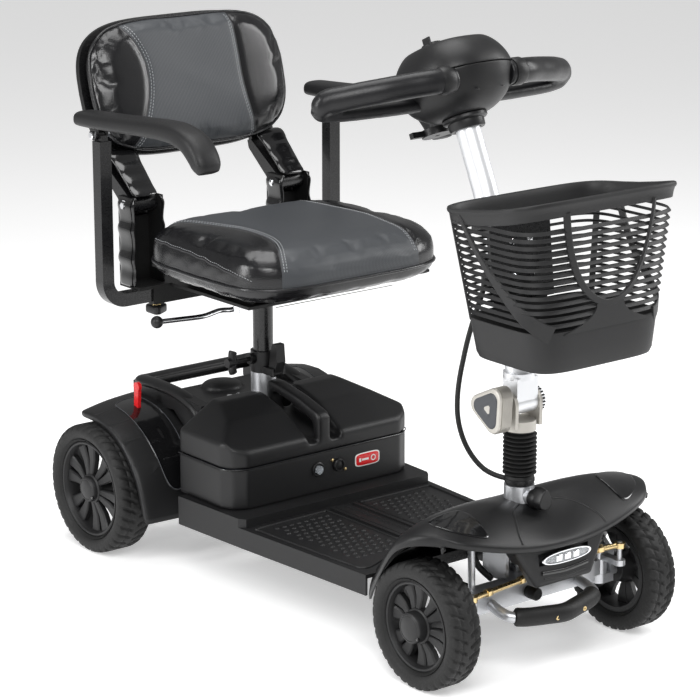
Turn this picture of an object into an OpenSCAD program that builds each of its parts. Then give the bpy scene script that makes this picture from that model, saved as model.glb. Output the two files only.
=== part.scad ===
// Four-wheel travel mobility scooter, millimetres.
// Origin on the ground midway between the axles. -Y is the front, -X is the rider's right, +Z is up.

/* [Wheels] */
// Distance between the front and rear axles
wheelbase = 810; // [800:1:820]
// Outer radius of the front tyres
front_wheel_r = 97; // [95:1:98]
// Width of the front tyres
front_tyre_w = 55; // [52:1:56]
// Outer radius of the rear tyres
rear_wheel_r = 110; // [108:1:111]
// Width of the rear tyres
rear_tyre_w = 65; // [60:1:65]
// Centre plane of a front tyre, from the middle of the scooter
front_track = 198.5; // [198:0.5:200]
// Centre plane of a rear tyre, from the middle of the scooter
rear_track = 228.5; // [228:0.5:230]

/* [Deck and battery] */
// Height of the foot deck's top face
deck_top_z = 121; // [119:1:122]
// Height of the raised step that carries the battery box
step_z = 136; // [134:1:137]
// Thickness of the moulded covers
shell_t = 4; // [3:0.5:5]

/* [Tiller] */
// Height of the tilt pivot
pivot_z = 395; // [392:1:398]
// Outer radius of the tiller tube
tiller_r = 19; // [17:0.5:19]
// Lean of the tiller head
head_lean = 25; // [22:1:27]

/* [Seat] */
// Outer radius of the seat post
post_r = 17; // [15:0.5:17.5]
// Half width between the armrest posts
arm_x = 236; // [234:1:237]
// Lean of the backrest
back_lean = 15.3; // [12:0.1:18]

/* [Hidden] */
front_y = -wheelbase / 2;
rear_y = wheelbase / 2;
steer_y = -385;
mast_y = 253;
kingpin_x = 150;
axle_r = 8;
shaft_r = 9;
running = 0.05;
gap = 0.3;
arm_len = 45;
hinge_y = 383;
hinge_z = 590;
arm_y = 368;
arm_z = 438;
pad_pivot = [375, 716];
head_at = [0, -246, 809];
console_z = 105;
paddle_y = 68;
tilt_at = [0, -384, pivot_z];
knob_z = 253;
lever_pivot = [219, 310];
tube_lean = 16.5;
tube_straight = 240;
tube_bend = 8.7;
tube_bend_r = 400;
tube_top = 102;
rod_z = [137, 155.3];

// Cable from the tiller down to the steering boot, on the rider's right
cable_r = 4;
cable_route = [
    [-25, -330, 612], [-28, -336, 590], [-35, -338, 565], [-43, -335, 538], [-50, -330, 510],
    [-55, -325, 482], [-58, -320, 454], [-60, -315, 426], [-60, -311, 398], [-58, -309, 370],
    [-53, -310, 344], [-46, -315, 320], [-37, -324, 299], [-28, -337, 284], [-20, -353, 277],
    [-14, -368, 275]
];

// ---------- helpers ----------

// Box from its lowest corner to its highest corner
module block(lo, hi) {
    translate(lo) cube(hi - lo);
}

// Round bar between two points
module bar(a, b, r) {
    d = b - a;
    len = norm(d);
    translate(a)
        rotate([0, acos(d[2] / len), atan2(d[1], d[0])])
            cylinder(h = len, r = r, $fn = 48);
}

// Round bar through a list of points, with slightly proud ball corners
module bent_bar(points, r) {
    for (i = [0 : len(points) - 2]) bar(points[i], points[i + 1], r);
    for (i = [1 : len(points) - 2]) translate(points[i]) sphere(r = r + 0.2, $fn = 48);
}

// Soft-cornered bar through a list of points, made of hulls
module hull_bar(points, r) {
    for (i = [0 : len(points) - 2])
        hull() for (p = [points[i], points[i + 1]]) translate(p) sphere(r = r, $fn = 16);
}

// Cylinder along X, starting at its lowest x
module disc_x(at, h, r) {
    translate(at) rotate([0, 90, 0]) cylinder(h = h, r = r, $fn = 64);
}

// Mirrors its children to both sides
module both_sides() {
    children();
    mirror([1, 0, 0]) children();
}

// Closed solid through a list of rings with equal point counts
module loft(rings) {
    n = len(rings[0]);
    m = len(rings);
    polyhedron(
        points = [for (r = rings, p = r) p],
        faces = concat(
            [[for (i = [0 : n - 1]) i]],
            [for (k = [0 : m - 2], i = [0 : n - 1])
                each let (a = k * n + i, b = k * n + (i + 1) % n)
                    [[a, a + n, b], [b, a + n, b + n]]],
            [[for (i = [n - 1 : -1 : 0]) (m - 1) * n + i]]
        )
    );
}

// Rounded oblong outline, counter-clockwise, as points
function outline(w, l, p = 3.2, n = 32) = [
    for (i = [0 : n - 1])
        let (t = 360 * i / n, c = cos(t), s = sin(t))
            [w * sign(c) * pow(abs(c), 2 / p), l * sign(s) * pow(abs(s), 2 / p)]
];

function ring_z(w, l, cy, z, p = 3.2, n = 32) = [for (q = outline(w, l, p, n)) [q[0], q[1] + cy, z]];

// ---------- chassis ----------

module main_frame() {
    color([0.07, 0.07, 0.075]) {
        both_sides() block([70, -392, 84], [95, 345, 115]);
        for (y = [-200, 60, 300]) block([-70, y, 84], [70, y + 30, 115]);
        block([-70, mast_y - 25, 84], [70, mast_y + 25, 115]);
        both_sides() {
            block([95, 315, 84], [112, 345, 115]);
            bent_bar([[104, 330, 93], [104, 380, 74], [104, 480, 70], [104, 535, 45]], 9);
        }
        bar([-104, 535, 45], [104, 535, 45], 5);
    }
}

module front_beam() {
    color([0.72, 0.73, 0.75]) {
        difference() {
            union() {
                block([-124, -424, 95], [124, -392, 128]);
                both_sides() {
                    block([118, -416, 99], [kingpin_x, -394, 123]);
                    translate([kingpin_x, front_y, 99]) cylinder(h = 24, r = 13, $fn = 64);
                    translate([kingpin_x, front_y, 82]) cylinder(h = 58, r = 7, $fn = 64);
                }
                block([-40, -424, 124], [40, -350, 131.5]);
                both_sides() block([34, -402, 131], [40, -350, 166]);
                block([-40, -408, 166], [40, -350, 172]);
                translate([0, steer_y, 172]) cylinder(h = 96, r = 23, $fn = 64);
                translate([0, steer_y - 30, knob_z]) rotate([-90, 0, 0]) cylinder(h = 12, r = 11, $fn = 48);
            }
            translate([0, steer_y, 120]) cylinder(h = 160, r = 12 + running, $fn = 64);
            translate([0, steer_y - 45, knob_z]) rotate([-90, 0, 0]) cylinder(h = 45, r = 4, $fn = 48);
        }
    }
}

module bumper_tube() {
    color([0.75, 0.76, 0.78])
        hull_bar([[-88, -424, 106], [-85, -466, 97], [0, -491, 93], [85, -466, 97], [88, -424, 106]], 8.5);
}

module bumper_sleeve() {
    color([0.06, 0.06, 0.06]) {
        hull_bar([[-80, -467.5, 96.5], [0, -491, 93], [80, -467.5, 96.5]], 14.5);
        // rubber buffer between the beam and the nose panel
        translate([-14, -446, 111]) rotate([-90, 0, 0]) cylinder(h = 22, r = 10, $fn = 48);
    }
}

deck_half = [[205, 214], [197, 50], [188, -90], [179, -240]];

function deck_outline(inset) = concat(
    [for (p = deck_half) [p[0] - inset, p[1]]],
    [for (i = [3 : -1 : 0]) [-deck_half[i][0] + inset, deck_half[i][1]]]
);

module floor_deck() {
    color([0.05, 0.05, 0.055]) {
        difference() {
            translate([0, 0, 88]) linear_extrude(deck_top_z - 88) polygon(deck_outline(0));
            translate([0, 0, 80]) linear_extrude(115 - 80)
                polygon(concat([[199, 260]], deck_outline(4), [[-199, 260]]));
            block([-175, -260, 80], [175, -235, 115]);
        }
        // raised step under the battery box
        difference() {
            translate([0, 0, deck_top_z]) linear_extrude(step_z - deck_top_z)
                polygon([[205, 214], [197.5, 60], [190, 48], [-190, 48], [-197.5, 60], [-205, 214]]);
            block([-70, 160, deck_top_z - 1], [70, 220, step_z + 1]);
        }
        // double rib along the middle and raised rims of the two foot panels
        for (x = [-26, 20]) block([x, -225, deck_top_z], [x + 6, 40, deck_top_z + 3]);
    }
}

// Front cowl: rows run from the front lip to the rear edge, columns from the middle to the fender lip
cowl_half = [
    [[0, -493, 208], [60, -492, 210], [120, -488, 219], [178, -478, 232], [220, -452, 238]],
    [[0, -470, 214], [60, -469, 222], [120, -466, 234], [180, -459, 240], [228, -440, 242]],
    [[0, -440, 226], [60, -440, 240], [120, -438, 250], [180, -430, 250], [231, -418, 243]],
    [[0, -400, 238], [60, -400, 257], [120, -398, 262], [180, -394, 254], [232, -390, 232]],
    [[0, -360, 244], [60, -360, 249], [118, -358, 244], [176, -356, 236], [230, -360, 206]],
    [[0, -325, 231], [58, -325, 231], [112, -322, 222], [168, -316, 202], [223, -328, 166]],
    [[0, -285, 207], [55, -285, 205], [105, -284, 190], [156, -280, 166], [204, -289, 130]],
    [[0, -235, 172], [50, -238, 168], [100, -244, 154], [147, -250, 134], [192, -266, 100]],
    [[0, -180, 124.9], [48, -184, 124.9], [90, -196, 124.6], [125, -212, 124.2], [168, -247, 122]]
];

function cowl_grid() = [
    for (row = cowl_half)
        concat([for (i = [4 : -1 : 1]) [-row[i][0], row[i][1], row[i][2]]], row)
];

function grid_normal(g, i, j) =
    let (
        m = len(g) - 1,
        n = len(g[0]) - 1,
        a = g[i][min(j + 1, n)] - g[i][max(j - 1, 0)],
        b = g[min(i + 1, m)][j] - g[max(i - 1, 0)][j],
        c = cross(a, b)
    ) c / norm(c);

// Thick sheet under a grid of points
module sheet(g, t) {
    m = len(g);
    n = len(g[0]);
    under = [for (i = [0 : m - 1]) [for (j = [0 : n - 1]) g[i][j] - t * grid_normal(g, i, j)]];
    rings = [for (i = [0 : m - 1]) concat(g[i], [for (j = [n - 1 : -1 : 0]) under[i][j]])];
    loft(rings);
}

module front_cowl() {
    color([0.06, 0.06, 0.065])
        difference() {
            sheet(cowl_grid(), shell_t);
            translate([0, steer_y, 200]) cylinder(h = 80, r = 26, $fn = 64);
        }
}

module nose_panel() {
    color([0.06, 0.06, 0.065])
        difference() {
            hull() {
                both_sides() {
                    translate([82, -474, 200]) sphere(r = 8, $fn = 24);
                    translate([50, -482, 149]) sphere(r = 8, $fn = 24);
                    translate([82, -456, 200]) sphere(r = 8, $fn = 24);
                    translate([50, -462, 149]) sphere(r = 8, $fn = 24);
                }
            }
            block([-78, -470, 120], [78, -440, 230]);
            block([-50, -500, 174], [50, -476, 192]);
        }
}

module headlight() {
    color([0.9, 0.92, 0.95])
        hull() both_sides()
            translate([41, -489, 183]) rotate([-90, 0, 0]) cylinder(h = 13, r = 8.5, $fn = 32);
}

// Fender lip radius round the rear axle, by angle from straight back over the top to the front
fender = [[72, 124], [90, 120], [110, 118], [130, 119], [150, 122], [166, 128], [178, 134], [190, 145]];

function on_fender(x, a, r) = [x, rear_y + r * cos(a), rear_wheel_r + r * sin(a)];

module fender_rib(k, x, rise) {
    a = fender[k][0];
    r = fender[k][1] + rise;
    translate(on_fender(x, a, r)) sphere(r = 3, $fn = 8);
}

module rear_cowl() {
    n = len(fender) - 1;
    color([0.06, 0.06, 0.065])
        difference() {
            union() {
                both_sides() {
                    // fender roof, rising towards the middle
                    for (k = [0 : n - 1]) {
                        hull() {
                            for (i = [k, k + 1]) {
                                fender_rib(i, 235, 3);
                                fender_rib(i, 180, i < 5 ? 12 : 5);
                            }
                        }
                        hull() {
                            for (i = [k, k + 1]) {
                                fender_rib(i, 180, i < 5 ? 12 : 5);
                                fender_rib(i, 116, i < 5 ? 17 : 5);
                            }
                        }
                    }
                    // raised side rail between the fender and the hatch
                    hull() {
                        block([104, 436, 236], [128, 452, 268]);
                        block([104, 330, 240], [124, 340, 270]);
                    }
                    hull() {
                        block([104, 330, 240], [124, 340, 270]);
                        block([104, 262, 190], [122, 274, 262]);
                    }
                    // inner side wall
                    block([104, 262, 150], [108, 448, 245]);
                }
                // lifting bar across the back, open below
                hull() both_sides() translate([112, 444, 262]) sphere(r = 10, $fn = 24);
                // rear fascia
                block([-190, 440, 120], [190, 450, 232]);
            }
            // slot for the freewheel lever
            block([-177, 352, 215], [-163, 412, 275]);
        }
}

module hatch_cover() {
    color([0.07, 0.07, 0.075]) {
        block([-104, 286, 252], [104, 392, 257]);
        hull() {
            translate([-22, 352, 258]) scale([1, 1, 0.5]) sphere(r = 30, $fn = 24);
            translate([-10, 352, 257.5]) scale([1, 1, 0.4]) sphere(r = 34, $fn = 24);
        }
    }
}

module drive_unit() {
    color([0.35, 0.36, 0.38])
        difference() {
            union() {
                disc_x([-60, rear_y, rear_wheel_r], 120, 33);
                both_sides() disc_x([59, rear_y, rear_wheel_r], 129, 20);
                translate([20, 284, 152]) rotate([-90, 0, 0]) cylinder(h = 121, r = 32, $fn = 64);
                block([-94, 345, 92], [94, 392, 128]);
                // bracket and pivot pin of the freewheel lever
                block([-157, 378, 110], [-151, 392, 212]);
                disc_x([-172, 385, 203], 16, 3);
            }
            disc_x([-200, rear_y, rear_wheel_r], 150, shaft_r + running);
            disc_x([50, rear_y, rear_wheel_r], 150, shaft_r + running);
        }
}

module controller() {
    color([0.3, 0.31, 0.33]) block([-90, 300, 115], [-22, 338, 200]);
}

module seat_mast() {
    color([0.74, 0.75, 0.77])
        difference() {
            translate([0, mast_y, 115]) cylinder(h = 191, r = 21, $fn = 64);
            translate([0, mast_y, 121]) cylinder(h = 200, r = post_r + running, $fn = 64);
        }
}

module mast_collar() {
    color([0.05, 0.05, 0.05])
        difference() {
            union() {
                translate([0, mast_y, 306]) cylinder(h = 36, r = 21.5, $fn = 64);
                disc_x([-30, mast_y, 330], 14, 9);
                both_sides() block([9, 211, 306], [14, 240, 318]);
            }
            translate([0, mast_y, 300]) cylinder(h = 50, r = post_r + running, $fn = 64);
            disc_x([-40, mast_y, 330], 24, 4);
            disc_x([-20, lever_pivot[0], lever_pivot[1]], 40, 3);
        }
}

// Battery box outline: square front, narrower notched rear around the seat mast
function battery_outline(inset, f = 85) = [
    [190 - inset, 232 - inset], [190 - inset, f + 34], [180 - inset * 0.7, f + 12 + inset * 0.5],
    [158, f + inset], [-158, f + inset], [-180 + inset * 0.7, f + 12 + inset * 0.5],
    [-190 + inset, f + 34], [-190 + inset, 232 - inset],
    [-44 - inset, 232 - inset], [-40 - inset, 222 - inset],
    [40 + inset, 222 - inset], [44 + inset, 232 - inset]
];

module battery_case() {
    color([0.06, 0.06, 0.065])
        difference() {
            translate([0, 0, step_z]) linear_extrude(204 - step_z) polygon(battery_outline(0));
            translate([0, 0, step_z + 5]) linear_extrude(90) polygon(battery_outline(5));
            // charging inlet, and the bore of the breaker button
            translate([27, 70, 176]) rotate([-90, 0, 0]) cylinder(h = 30, r = 8, $fn = 64);
            translate([-16, 70, 176]) rotate([-90, 0, 0]) cylinder(h = 30, r = 7 + running, $fn = 64);
        }
    color([0.05, 0.05, 0.05])
        difference() {
            translate([27, 90, 176]) rotate([-90, 0, 0]) cylinder(h = 16, r = 11, $fn = 64);
            translate([27, 89, 176]) rotate([-90, 0, 0]) cylinder(h = 13, r = 8, $fn = 64);
        }
}

lid_side = [[85, 204], [85, 228], [90, 234], [150, 268], [205, 284], [232, 284], [232, 204]];
lid_front = [[-190, 190], [190, 190], [190, 244], [120, 286], [-120, 286], [-190, 244]];

// Space under the lid's sloping top, lowered and narrowed by the wall thickness
module lid_shape(wall) {
    intersection() {
        translate([200, 0, 0]) rotate([90, 0, -90]) linear_extrude(400)
            polygon([for (p = lid_side) [-p[0], p[1] - wall]]);
        translate([0, 0, 180]) linear_extrude(120) polygon(battery_outline(wall));
        translate([0, 300, 0]) rotate([90, 0, 0]) linear_extrude(300)
            polygon([for (p = lid_front) [p[0], p[1] - wall]]);
    }
}

module battery_lid() {
    color([0.06, 0.06, 0.065])
        difference() {
            lid_shape(0);
            // hollow on each side of the handle recess
            both_sides() intersection() {
                lid_shape(5);
                block([38, 80, 190], [200, 240, 300]);
            }
            // recess under the carrying handle
            translate([33, 0, 0]) rotate([90, 0, -90]) linear_extrude(66)
                polygon([[-78, 222], [-95, 222], [-240, 252], [-240, 300], [-78, 300]]);
        }
    // carrying handle
    color([0.05, 0.05, 0.05])
        translate([13, 0, 0]) rotate([90, 0, -90]) linear_extrude(26)
            polygon([
                [-86, 221], [-86, 262], [-94, 270], [-150, 286], [-205, 296], [-228, 297], [-228, 246],
                [-214, 246], [-214, 279], [-202, 279], [-148, 267], [-106, 252], [-103, 222]
            ]);
}

module battery_cells() {
    color([0.2, 0.2, 0.22]) both_sides() block([8, 108, step_z + 6], [160, 214, 200]);
}

module breaker_button() {
    color([0.8, 0.82, 0.85]) {
        translate([-16, 79, 176]) rotate([-90, 0, 0]) cylinder(h = 12, r = 7, $fn = 64);
    }
}

module anti_tip_wheels() {
    color([0.08, 0.08, 0.08])
        both_sides() difference() {
            disc_x([70, 535, 45], 20, 27);
            disc_x([60, 535, 45], 40, 5 + running);
        }
    color([0.2, 0.2, 0.2])
        difference() {
            disc_x([-70, 535, 45], 140, 9);
            disc_x([-80, 535, 45], 160, 5 + running);
        }
}

// ---------- knobs and levers on the chassis ----------

module lock_knob() {
    color([0.07, 0.07, 0.07]) {
        translate([0, -415.3, knob_z]) rotate([90, 0, 0]) cylinder(h = 16, r = 13, $fn = 64);
        hull() {
            translate([0, -431, knob_z]) rotate([90, 0, 0]) cylinder(h = 17, r = 12, $fn = 32);
            translate([0, -431, knob_z + 12]) rotate([90, 0, 0]) cylinder(h = 14, r = 9, $fn = 32);
        }
        translate([0, -398, knob_z]) rotate([90, 0, 0]) cylinder(h = 20, r = 4 - running, $fn = 48);
    }
}

module clamp_knob() {
    color([0.06, 0.06, 0.06]) {
        disc_x([-62, mast_y, 330], 41, 4 - running);
        disc_x([-58, mast_y, 330], 27, 7);
        hull() for (dz = [-17, 17]) disc_x([-68, mast_y, 330 + dz], 11, 6);
    }
}

module release_lever() {
    color([0.06, 0.06, 0.06]) {
        translate([-8.7, 0, 0]) rotate([90, 0, 90]) linear_extrude(17.4)
            polygon([[211, 310], [227, 310], [224, 335], [217, 360], [206, 360], [203, 330]]);
        disc_x([-8.7, lever_pivot[0], lever_pivot[1]], 17.4, 8);
        disc_x([-14, lever_pivot[0], lever_pivot[1]], 28, 3 - running);
    }
}

module freewheel_lever() {
    color([0.8, 0.05, 0.06])
        difference() {
            union() {
                disc_x([-171, 385, 203], 13.5, 9);
                hull() {
                    block([-170, 379, 205], [-164, 391, 210]);
                    block([-170, 376, 272], [-164, 388, 276]);
                }
                disc_x([-170, 382, 278], 6, 8);
            }
            disc_x([-180, 385, 203], 30, 3 + running);
        }
}

// ---------- steering ----------

module steering_shaft() {
    color([0.6, 0.61, 0.63]) {
        translate([0, steer_y, 129]) cylinder(h = 237, r = 12, $fn = 64);
        block([-9, steer_y - arm_len, 142], [9, steer_y, 150]);
        translate([0, steer_y - arm_len, 142]) cylinder(h = 8, r = 9, $fn = 48);
        translate([0, steer_y - arm_len, 133]) cylinder(h = 31, r = 4, $fn = 48);
    }
}

module boot() {
    folds = 9;
    pitch = 7;
    color([0.05, 0.05, 0.05])
        difference() {
            union() {
                for (k = [0 : folds - 1])
                    translate([0, steer_y, 284 + k * pitch]) rotate_extrude($fn = 48)
                        polygon([[13, 0], [19, 0], [25, 2.5], [25, 4.5], [19, 7], [13, 7]]);
                translate([0, steer_y, 269]) cylinder(h = 15, r = 22, $fn = 48);
                translate([0, steer_y, 347]) cylinder(h = 6, r = 22, $fn = 48);
            }
            translate([0, steer_y, 260]) cylinder(h = 100, r = 13, $fn = 48);
        }
}

module tilt_yoke() {
    color([0.78, 0.77, 0.74])
        difference() {
            union() {
                translate([0, steer_y, 353.3]) cylinder(h = 16, r = 24, $fn = 64);
                both_sides() {
                    block([21, -404, 360], [27, -364, 396]);
                    disc_x([21, -384, pivot_z], 6, 20);
                }
            }
            translate([0, steer_y, 330]) cylinder(h = 36, r = 12 + running, $fn = 64);
            disc_x([-40, -384, pivot_z], 80, 6 + running);
        }
}

// One rod to each knuckle, one above the other on the shared pin
module tie_rods() {
    color([0.78, 0.68, 0.42]) for (side = [-1, 1]) {
        z = rod_z[(side + 1) / 2];
        a = [0, steer_y - arm_len, z];
        b = [side * kingpin_x, front_y - arm_len, z];
        difference() {
            union() {
                bar(a, b, 4.5);
                for (p = [a, b]) translate(p - [0, 0, 4]) cylinder(h = 8, r = 9, $fn = 48);
            }
            for (p = [a, b]) translate(p - [0, 0, 10]) cylinder(h = 20, r = 4 + running, $fn = 48);
        }
    }
}

module knuckle(side) {
    ky = front_y;
    color([0.7, 0.71, 0.73])
        translate([side * kingpin_x, 0, 0]) mirror([side < 0 ? 1 : 0, 0, 0])
            difference() {
                union() {
                    // fork over and under the beam's ear
                    for (lo = [84, 123.3]) {
                        translate([0, ky, lo]) cylinder(h = 14.7, r = 13, $fn = 64);
                        block([0, ky - 13, lo], [20, ky + 13, lo + 14.7]);
                    }
                    block([14.5, ky - 13, 84], [20, ky + 13, 138]);
                    // stub axle
                    disc_x([18, ky, front_wheel_r], 54, axle_r);
                    // steering arm
                    block([-7, ky - arm_len, 123.3], [7, ky, 132]);
                    translate([0, ky - arm_len, 123.3]) cylinder(h = 8.7, r = 9, $fn = 48);
                    translate([0, ky - arm_len, 125])
                        cylinder(h = rod_z[(side + 1) / 2] - 120, r = 4, $fn = 48);
                }
                translate([0, ky, 80]) cylinder(h = 70, r = 7 + running, $fn = 64);
            }
}

// ---------- wheels ----------

module tyre(side, x, y, r, w, rim_r) {
    h = w / 2;
    color([0.04, 0.04, 0.04])
        translate([side * x, y, r]) rotate([0, 90, 0]) rotate_extrude($fn = 96)
            polygon([
                [rim_r, -h + 7], [rim_r + 5, -h + 1.5], [rim_r + 11, -h], [r - 14, -h + 1], [r - 5, -h + 5],
                [r - 1.2, -h + 13], [r, -h + 22], [r, h - 22], [r - 1.2, h - 13], [r - 5, h - 5],
                [r - 14, h - 1], [rim_r + 11, h], [rim_r + 5, h - 1.5], [rim_r, h - 7]
            ]);
}

module tyre_front(side) {
    tyre(side, front_track, front_y, front_wheel_r, front_tyre_w, 68);
}

module tyre_rear(side) {
    tyre(side, rear_track, rear_y, rear_wheel_r, rear_tyre_w, 81);
}

// Rim with six pairs of spokes and a pressed-in hub cap
module rim(side, x, y, r, w, rim_r, cap_r, cap_out) {
    h = w / 2 - 7;
    color([0.09, 0.09, 0.095])
        translate([side * x, y, r]) mirror([side < 0 ? 1 : 0, 0, 0]) {
            difference() {
                union() {
                    difference() {
                        disc_x([-h, 0, 0], 2 * h, rim_r);
                        disc_x([-h - 1, 0, 0], 2 * h + 2, rim_r - 7);
                    }
                    disc_x([2, 0, 0], h - 6, rim_r - 6);
                    disc_x([-h + 3, 0, 0], 2 * h - 4, cap_r + 2);
                }
                for (k = [0 : 5]) {
                    rotate([60 * k, 0, 0])
                        translate([-60, -7, cap_r + 8]) cube([120, 14, rim_r - cap_r - 18]);
                    rotate([60 * k + 30, 0, 0])
                        translate([-60, -2.5, cap_r + 9]) cube([120, 5, rim_r - cap_r - 20]);
                }
            }
            disc_x([h - 2, 0, 0], cap_out - h + 2, cap_r);
        }
}

module rim_front(side) {
    difference() {
        rim(side, front_track, front_y, front_wheel_r, front_tyre_w, 68, 24, 34);
        translate([side * front_track, front_y, front_wheel_r]) rotate([0, 90, 0])
            translate([0, 0, -26]) cylinder(h = 52, r = axle_r + running, $fn = 64);
    }
}

module rim_rear(side) {
    rim(side, rear_track, rear_y, rear_wheel_r, rear_tyre_w, 81, 22, 32);
    color([0.6, 0.61, 0.63])
        translate([side * rear_track, rear_y, rear_wheel_r]) mirror([side < 0 ? 1 : 0, 0, 0])
            disc_x([-162, 0, 0], 145, shaft_r);
}

// ---------- tiller ----------

// Straight tube that bends back once below the head
module curved_tube() {
    translate([0, -382.5, 430]) rotate([-tube_lean, 0, 0]) {
        cylinder(h = tube_straight, r = tiller_r, $fn = 64);
        translate([0, tube_bend_r, tube_straight]) {
            rotate([90, 0, 90]) rotate([0, 0, 180 - tube_bend])
                rotate_extrude(angle = tube_bend, $fn = 96)
                    translate([tube_bend_r, 0]) circle(r = tiller_r, $fn = 64);
            rotate([-tube_bend, 0, 0]) translate([0, -tube_bend_r, 0])
                cylinder(h = tube_top, r = tiller_r, $fn = 64);
        }
    }
}

module tiller_tube() {
    color([0.82, 0.83, 0.85]) {
        difference() {
            union() {
                curved_tube();
                // clevis block in the yoke
                block([-20.7, -400, 393], [20.7, -368, 436]);
                disc_x([-20.7, -384, pivot_z], 41.4, 17);
                translate([0, -380, 432]) cylinder(h = 10, r = 24, $fn = 64);
            }
            disc_x([-40, -384, pivot_z], 80, 6 + running);
        }
        // toothed locking disc
        difference() {
            disc_x([27.3, -384, pivot_z], 5, 20);
            disc_x([20, -384, pivot_z], 20, 6 + running);
        }
    }
}

module tilt_knob() {
    color([0.72, 0.71, 0.67]) {
        disc_x([-66, -384, pivot_z], 102, 6);
        // ribbed three-cornered grip
        difference() {
            hull() {
                for (a = [0, 120, 240])
                    translate([0, -384 + 24 * cos(a + 15), pivot_z + 24 * sin(a + 15)])
                        disc_x([-66, 0, 0], 30, 12);
            }
            disc_x([-70, -384, pivot_z], 8, 9);
        }
        disc_x([33, -384, pivot_z], 6, 11);
    }
}

module basket() {
    color([0.05, 0.05, 0.055])
        loft([
            ring_z(115, 81, -478, 490, 5, 32),
            ring_z(119, 84, -477, 497, 5, 32),
            ring_z(158, 97, -465, 724, 6, 32),
            ring_z(161, 99, -463, 728, 6, 32),
            ring_z(161, 99, -463, 736, 6, 32),
            ring_z(154, 93, -464, 736, 6, 32),
            ring_z(115, 80, -477, 502, 5, 32),
            ring_z(111, 76, -477, 495, 5, 32)
        ]);
}

module basket_bracket() {
    color([0.06, 0.06, 0.06])
        difference() {
            union() {
                for (z = [560, 640])
                    hull() {
                        block([-24, -352 + (z - 560) * 0.29, z], [24, -320 + (z - 560) * 0.29, z + 18]);
                        block([-24, -384 + (z - 560) * 0.1, z], [24, -377 + (z - 560) * 0.1, z + 18]);
                    }
                hull() {
                    block([-60, -389, 552], [60, -383, 556]);
                    block([-60, -376, 664], [60, -370, 668]);
                }
            }
            curved_tube();
        }
}

function head_ring(w, l, cy, z, n = 32) = [
    for (q = outline(w, l, 2.6, n))
        let (y = q[1] + cy)
            [q[0], head_at[1] + y * cos(head_lean) + z * sin(head_lean),
             head_at[2] - y * sin(head_lean) + z * cos(head_lean)]
];

module head_lower() {
    color([0.05, 0.05, 0.055])
        difference() {
            union() {
                loft([
                    head_ring(27, 27, -3, -25), head_ring(28, 28, -3, -15), head_ring(33, 34, -3, -12),
                    head_ring(35, 37, -2, -5), head_ring(62, 66, -2, 8), head_ring(79, 84, -2, 34),
                    head_ring(82, 88, -2, 54), head_ring(78, 84, -2, 54), head_ring(75, 80, -2, 35),
                    head_ring(58, 62, -2, 13), head_ring(34, 36, -2, 0)
                ]);
                // pivot pin of the speed paddle
                translate(head_at) rotate([-head_lean, 0, 0]) translate([0, paddle_y, -14])
                    cylinder(h = 32, r = 4, $fn = 48);
            }
            curved_tube();
        }
}

module head_upper() {
    color([0.05, 0.05, 0.055])
        loft([
            head_ring(52, 56, -2, 99), head_ring(64, 70, -2, 88), head_ring(74, 80, -2, 70),
            head_ring(77, 83, -2, 54.3), head_ring(82, 88, -2, 54.3), head_ring(79, 85, -2, 72),
            head_ring(69, 75, -2, 91), head_ring(58, 62, -2, 102), head_ring(54, 58, -2, console_z)
        ]);
}

module handlebar() {
    color([0.04, 0.04, 0.045]) both_sides() {
        hull_bar([
            [40, -288, 872], [88, -284, 871], [160, -256, 862], [210, -226, 852], [236, -208, 846]
        ], 16.5);
        hull_bar([[40, -222, 826], [120, -218, 825], [205, -210, 825], [236, -208, 840]], 9.5);
    }
}

// Places its children on the sloping console, at (u across, v down towards the rider)
module on_console(u, v) {
    translate(head_at) rotate([-head_lean, 0, 0]) translate([u, v, console_z]) children();
}

module speed_dial() {
    color([0.08, 0.08, 0.08]) on_console(0, 22) {
        translate([0, 0, gap]) cylinder(h = 11, r = 17, $fn = 64);
        translate([0, 0, 11]) cylinder(h = 2, r = 13, $fn = 64);
        translate([-1.5, 6, 13]) cube([3, 8, 1.2]);
    }
}

module key() {
    color([0.75, 0.76, 0.78]) on_console(-34, -6) {
        translate([0, 0, gap]) cylinder(h = 4, r = 5, $fn = 48);
        translate([-1.5, -8, 3]) cube([3, 16, 12]);
    }
}

// Speed paddle under the back of the head: its wings are pushed with the fingers
module paddle() {
    color([0.06, 0.06, 0.06]) translate(head_at) rotate([-head_lean, 0, 0]) translate([0, paddle_y, 0])
        difference() {
            union() {
                translate([0, 0, -13]) cylinder(h = 11, r = 24, $fn = 64);
                block([-46, 0, -12], [46, 9, -3]);
            }
            translate([0, 0, -20]) cylinder(h = 30, r = 4 + running, $fn = 48);
        }
}

module horn_button() {
    color([0.75, 0.65, 0.1]) on_console(34, -8) translate([0, 0, gap + 2.5]) cylinder(h = 4, r = 7, $fn = 48);
}

module cable() {
    n = 8;
    m = len(cable_route);
    rings = [
        for (i = [0 : m - 1])
            let (
                d = cable_route[min(i + 1, m - 1)] - cable_route[max(i - 1, 0)],
                t = d / norm(d),
                u = cross([1, 0, 0], t) / norm(cross([1, 0, 0], t)),
                v = cross(t, u)
            )
                [for (k = [0 : n - 1])
                    cable_route[i] + cable_r * (cos(360 * k / n) * u + sin(360 * k / n) * v)]
    ];
    color([0.04, 0.04, 0.04]) loft([for (i = [m - 1 : -1 : 0]) rings[i]]);
}

// ---------- seat ----------

module seat_post() {
    color([0.05, 0.05, 0.05]) {
        translate([0, mast_y, 185]) cylinder(h = 249, r = post_r, $fn = 64);
        translate([0, mast_y, 434]) cylinder(h = 17, r = 12, $fn = 64);
    }
}

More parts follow.
